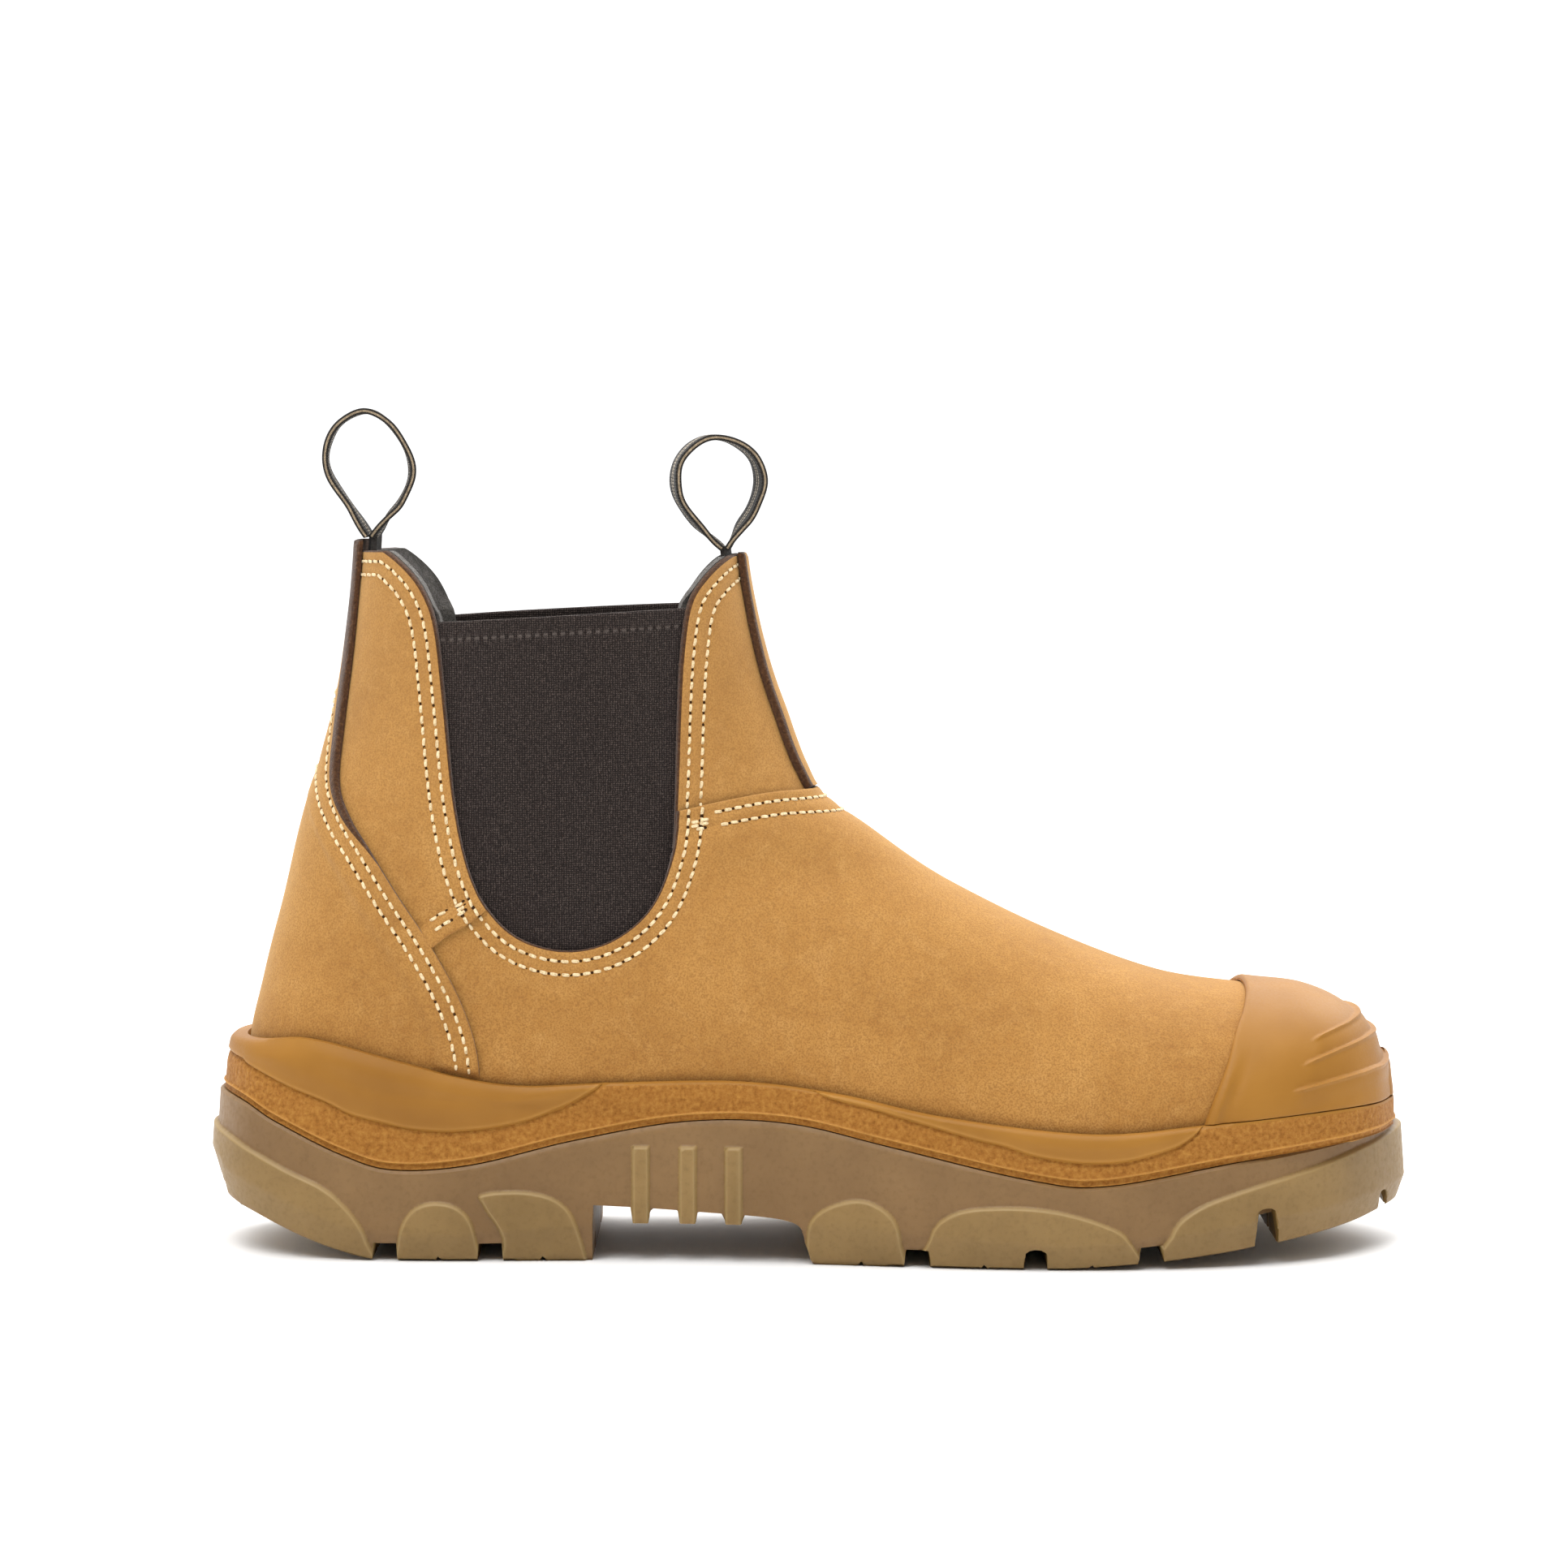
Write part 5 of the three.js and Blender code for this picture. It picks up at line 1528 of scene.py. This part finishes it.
def make_loop(word):
    loop = LOOPS[word]
    root = loop["root"]
    low = root[1] - 0.4
    line = curve([[root[0] - ROOT_HALF, low], *loop["spots"], [root[0] + ROOT_HALF, low]], 12)
    line = evenly(line, 150)
    run = np.gradient(line, axis=0)
    run /= np.linalg.norm(run, axis=1, keepdims=True)
    out = np.stack([-run[:, 1], run[:, 0]], axis=1)
    share = np.linspace(0, 1, len(line))
    skew = np.interp(ease(share), [0, 1], loop["skew"]) * ease(share / 0.12) * ease((1 - share) / 0.12)
    section = webbing_section()
    rings = []
    for spot, normal, slant, s in zip(line, out, skew, share):
        across, thick = section.T
        ripple = 0.12 * np.sin(40 * s) * across
        x = spot[0] + normal[0] * thick * WEBBING_THICK / 2 - across * slant + ripple
        z = spot[1] + normal[1] * thick * WEBBING_THICK / 2 + 0.1 * np.sin(25 * s) * across
        rings.append(np.column_stack([x, across * WEBBING_HALF, z]))
    sides = len(section)
    points = np.vstack(rings + [rings[0].mean(0, keepdims=True), rings[-1].mean(0, keepdims=True)])
    faces = tube_faces(len(rings), sides)
    first_edge = WEBBING_COLUMNS
    edge_columns = (first_edge, first_edge + 2 + WEBBING_COLUMNS)
    kinds = np.zeros(len(faces), int)
    per_ring = np.tile(np.arange(sides), len(rings) - 1)
    kinds[: 2 * len(per_ring)] = np.isin(np.concatenate([per_ring, per_ring]), edge_columns)
    piece = make_object(f"webbing_loop_{word}", points, faces, f"{word}_loop",
                        [WEBBING, SELVEDGE], kinds, sharp=60)
    mark(piece, "across", np.append(np.tile(np.abs(section[:, 0]), len(rings)), [0, 0]))
    mark(piece, "along", np.append(np.repeat(share * 0.1, sides), [0, 0]))
    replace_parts(piece, f"pull_loop_{word}")
    return piece


def make_tail(word):
    root = LOOPS[word]["root"]
    rear = word == "rear"
    surface = LAST.keep(lambda p: WEBBING_HALF - np.abs(p[:, 1])).keep(lambda p: root[1] + 0.2 - p[:, 2])
    surface = surface.keep(lambda p: p[:, 2] - root[1] + TAIL_LONG)
    surface = surface.keep(lambda p: (SHAFT_MIDDLE - p[:, 0]) if rear else (p[:, 0] - SHAFT_MIDDLE))
    outer = lambda p: np.full(len(p), CORE_OUT)
    inner = lambda p: np.full(len(p), CORE_OUT - 1.4)
    piece = panel(f"webbing_tail_{word}", surface, outer, inner, TAIL_WEBBING, TAIL_WEBBING)
    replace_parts(piece, f"loop_tail_{word}")


SELVEDGE = plain_look("webbing_selvedge", (0.36, 0.275, 0.175), (0.14, 0.10, 0.06), 0.8, 0.85, 0.12)
TAIL_WEBBING = plain_look("webbing_tail", (0.05, 0.042, 0.036), (0.008, 0.007, 0.006), 0.6, 0.9, 0.2)
for word in LOOPS:
    make_loop(word)
    make_tail(word)

# ---- Inside the boot ----

FOOTBED_THICK = 5.0
CUSHION = {"middle": 48.0, "long": 22.0, "wide": 12.0, "thick": 2.2}


def make_footbed():
    low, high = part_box("footbed")
    xs = np.linspace(low.x / MM - SHIFT[0] + 0.5, high.x / MM - SHIFT[0] - 0.5, 130)
    foot = lambda x: seat(x) + FOOTBED_LOW
    tree = tree_of(LINING_IN - 0.6)
    sides = []
    for x in xs:
        origin = Vector((x, 0, foot(x) + 2.5))
        hits = [tree.ray_cast(origin, Vector((0, way, 0))) for way in (-1, 1)]
        sides.append([hit[3] if hit[0] is not None else 3.0 for hit in hits])
    sides = np.array(sides)
    share = np.sin(np.linspace(-1, 1, 33) * np.pi / 2)
    widths = np.where(share < 0, share * sides[:, :1], share * sides[:, 1:])
    x = np.repeat(xs[:, None], len(share), axis=1)
    cup = 1.2 * np.abs(share) ** 3 * ease((150 - x) / 60)
    edge = 0.9 * np.maximum(np.abs(share) - 0.9, 0) / 0.1
    dimple = 0.18 * np.cos(x / 2.2) * np.cos(widths / 2.2)
    top = foot(x) + FOOTBED_THICK - 0.8 + cup - edge + dimple * (np.abs(share) < 0.85)
    near = ((x - CUSHION["middle"]) / (CUSHION["long"] + 1)) ** 2 + (widths / (CUSHION["wide"] + 1)) ** 2
    bottom = foot(x) + (CUSHION["thick"] + GAP) * ease((1.08 - near) / 0.08) + 0.6 * (np.abs(share) > 0.98)
    count = x.size
    points = np.vstack([np.column_stack([x.ravel(), widths.ravel(), z.ravel()]) for z in (top, bottom)])
    faces = grid_faces(len(xs), len(share))
    sheet = Surface(points[:count], faces)
    if sheet.normals[:, 2].mean() < 0:
        faces = faces[:, ::-1]
        sheet = Surface(points[:count], faces)
    rim = sheet.rim()
    a, b = rim[:, 0], rim[:, 1]
    strip = np.vstack([joined(b, a, a + count), joined(b, a + count, b + count)])
    faces = np.vstack([faces, faces[:, ::-1] + count, strip])
    piece = make_object("footbed_foam", points, faces, "footbed", [FOAM])
    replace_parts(piece, "footbed")


make_footbed()

CAD_LOOKS = {
    "shank": STEEL, "steel_toe_cap": STEEL, "insole_board": BOARD, "counter_stiffener": STIFFENER,
    "toe_cap_edge_strip": STRIP, "heel_cushion": STRIP,
}
for node, look in CAD_LOOKS.items():
    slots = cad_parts[node].data.materials
    slots.clear()
    slots.append(look)

# ---- Camera, light and floor ----


def area_light(name, place, aim, size, power, colour=(1, 1, 1)):
    data = bpy.data.lights.new(name, "AREA")
    data.shape = "RECTANGLE"
    data.size, data.size_y = size
    data.energy = power
    data.color = colour
    lamp = bpy.data.objects.new(name, data)
    lamp.location = place
    lamp.rotation_euler = (Vector(aim) - Vector(place)).to_track_quat("-Z", "Y").to_euler()
    bpy.context.scene.collection.objects.link(lamp)


def studio():
    """A white backdrop behind the boot, with a dimmer room on the camera's side."""
    world = bpy.data.worlds.new("studio")
    world.use_nodes = True
    tree = world.node_tree
    background = tree.nodes["Background"]
    background.inputs["Color"].default_value = (1, 1, 1, 1)
    split = tree.nodes.new("ShaderNodeSeparateXYZ")
    spread = tree.nodes.new("ShaderNodeMapRange")
    for name, value in (("From Min", -0.3), ("From Max", 0.3), ("To Min", 0.42), ("To Max", 1.2)):
        spread.inputs[name].default_value = value
    tree.links.new(tree.nodes.new("ShaderNodeTexCoord").outputs["Generated"], split.inputs["Vector"])
    tree.links.new(split.outputs["Y"], spread.inputs["Value"])
    tree.links.new(spread.outputs["Result"], background.inputs["Strength"])
    bpy.context.scene.world = world
    bpy.context.scene.view_settings.view_transform = "Standard"
    area_light("key", (-0.4, -0.9, 1.6), (0, 0, 0.08), (1.1, 1.1), 24)
    area_light("top", (0.1, 0.1, 1.7), (0, 0, 0.05), (1.6, 1.6), 22)
    area_light("rear", (0.9, 1.0, 0.9), (0, 0, 0.1), (0.9, 0.9), 6)
    area_light("backdrop", (0, 2.4, 1.8), (0, 2.4, 0), (3.4, 3.0), 60)


def floor():
    reach = 4.0
    mesh = bpy.data.meshes.new("floor")
    corners = [(-reach, -reach, 0), (reach, -reach, 0), (reach, reach, 0), (-reach, reach, 0)]
    mesh.from_pydata(corners, [], [(0, 1, 2, 3)])
    ground = bpy.data.objects.new("floor", mesh)
    bpy.context.scene.collection.objects.link(ground)
    look = Look("pale_floor", 0.6, Specular_IOR_Level=0.2)
    look.colour(look.ramp(look.noise(400, 2), (0.3, 0.86), (0.7, 0.9)))
    mesh.materials.append(look.material)
    ground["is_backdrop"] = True


def camera():
    data = bpy.data.cameras.new("camera")
    data.lens = 114.3
    data.sensor_width = 36
    eye = bpy.data.objects.new("camera", data)
    aim = Vector((-0.0065, 0.0, 0.1192))
    lift = np.radians(4)
    eye.location = aim + 1.3 * Vector((0, -np.cos(lift), np.sin(lift)))
    eye.rotation_euler = (aim - eye.location).to_track_quat("-Z", "Y").to_euler()
    bpy.context.scene.collection.objects.link(eye)
    bpy.context.scene.camera = eye


studio()
floor()
camera()

bounds = [[list(corner) for corner in box] for box in (cad_bounds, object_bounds())]
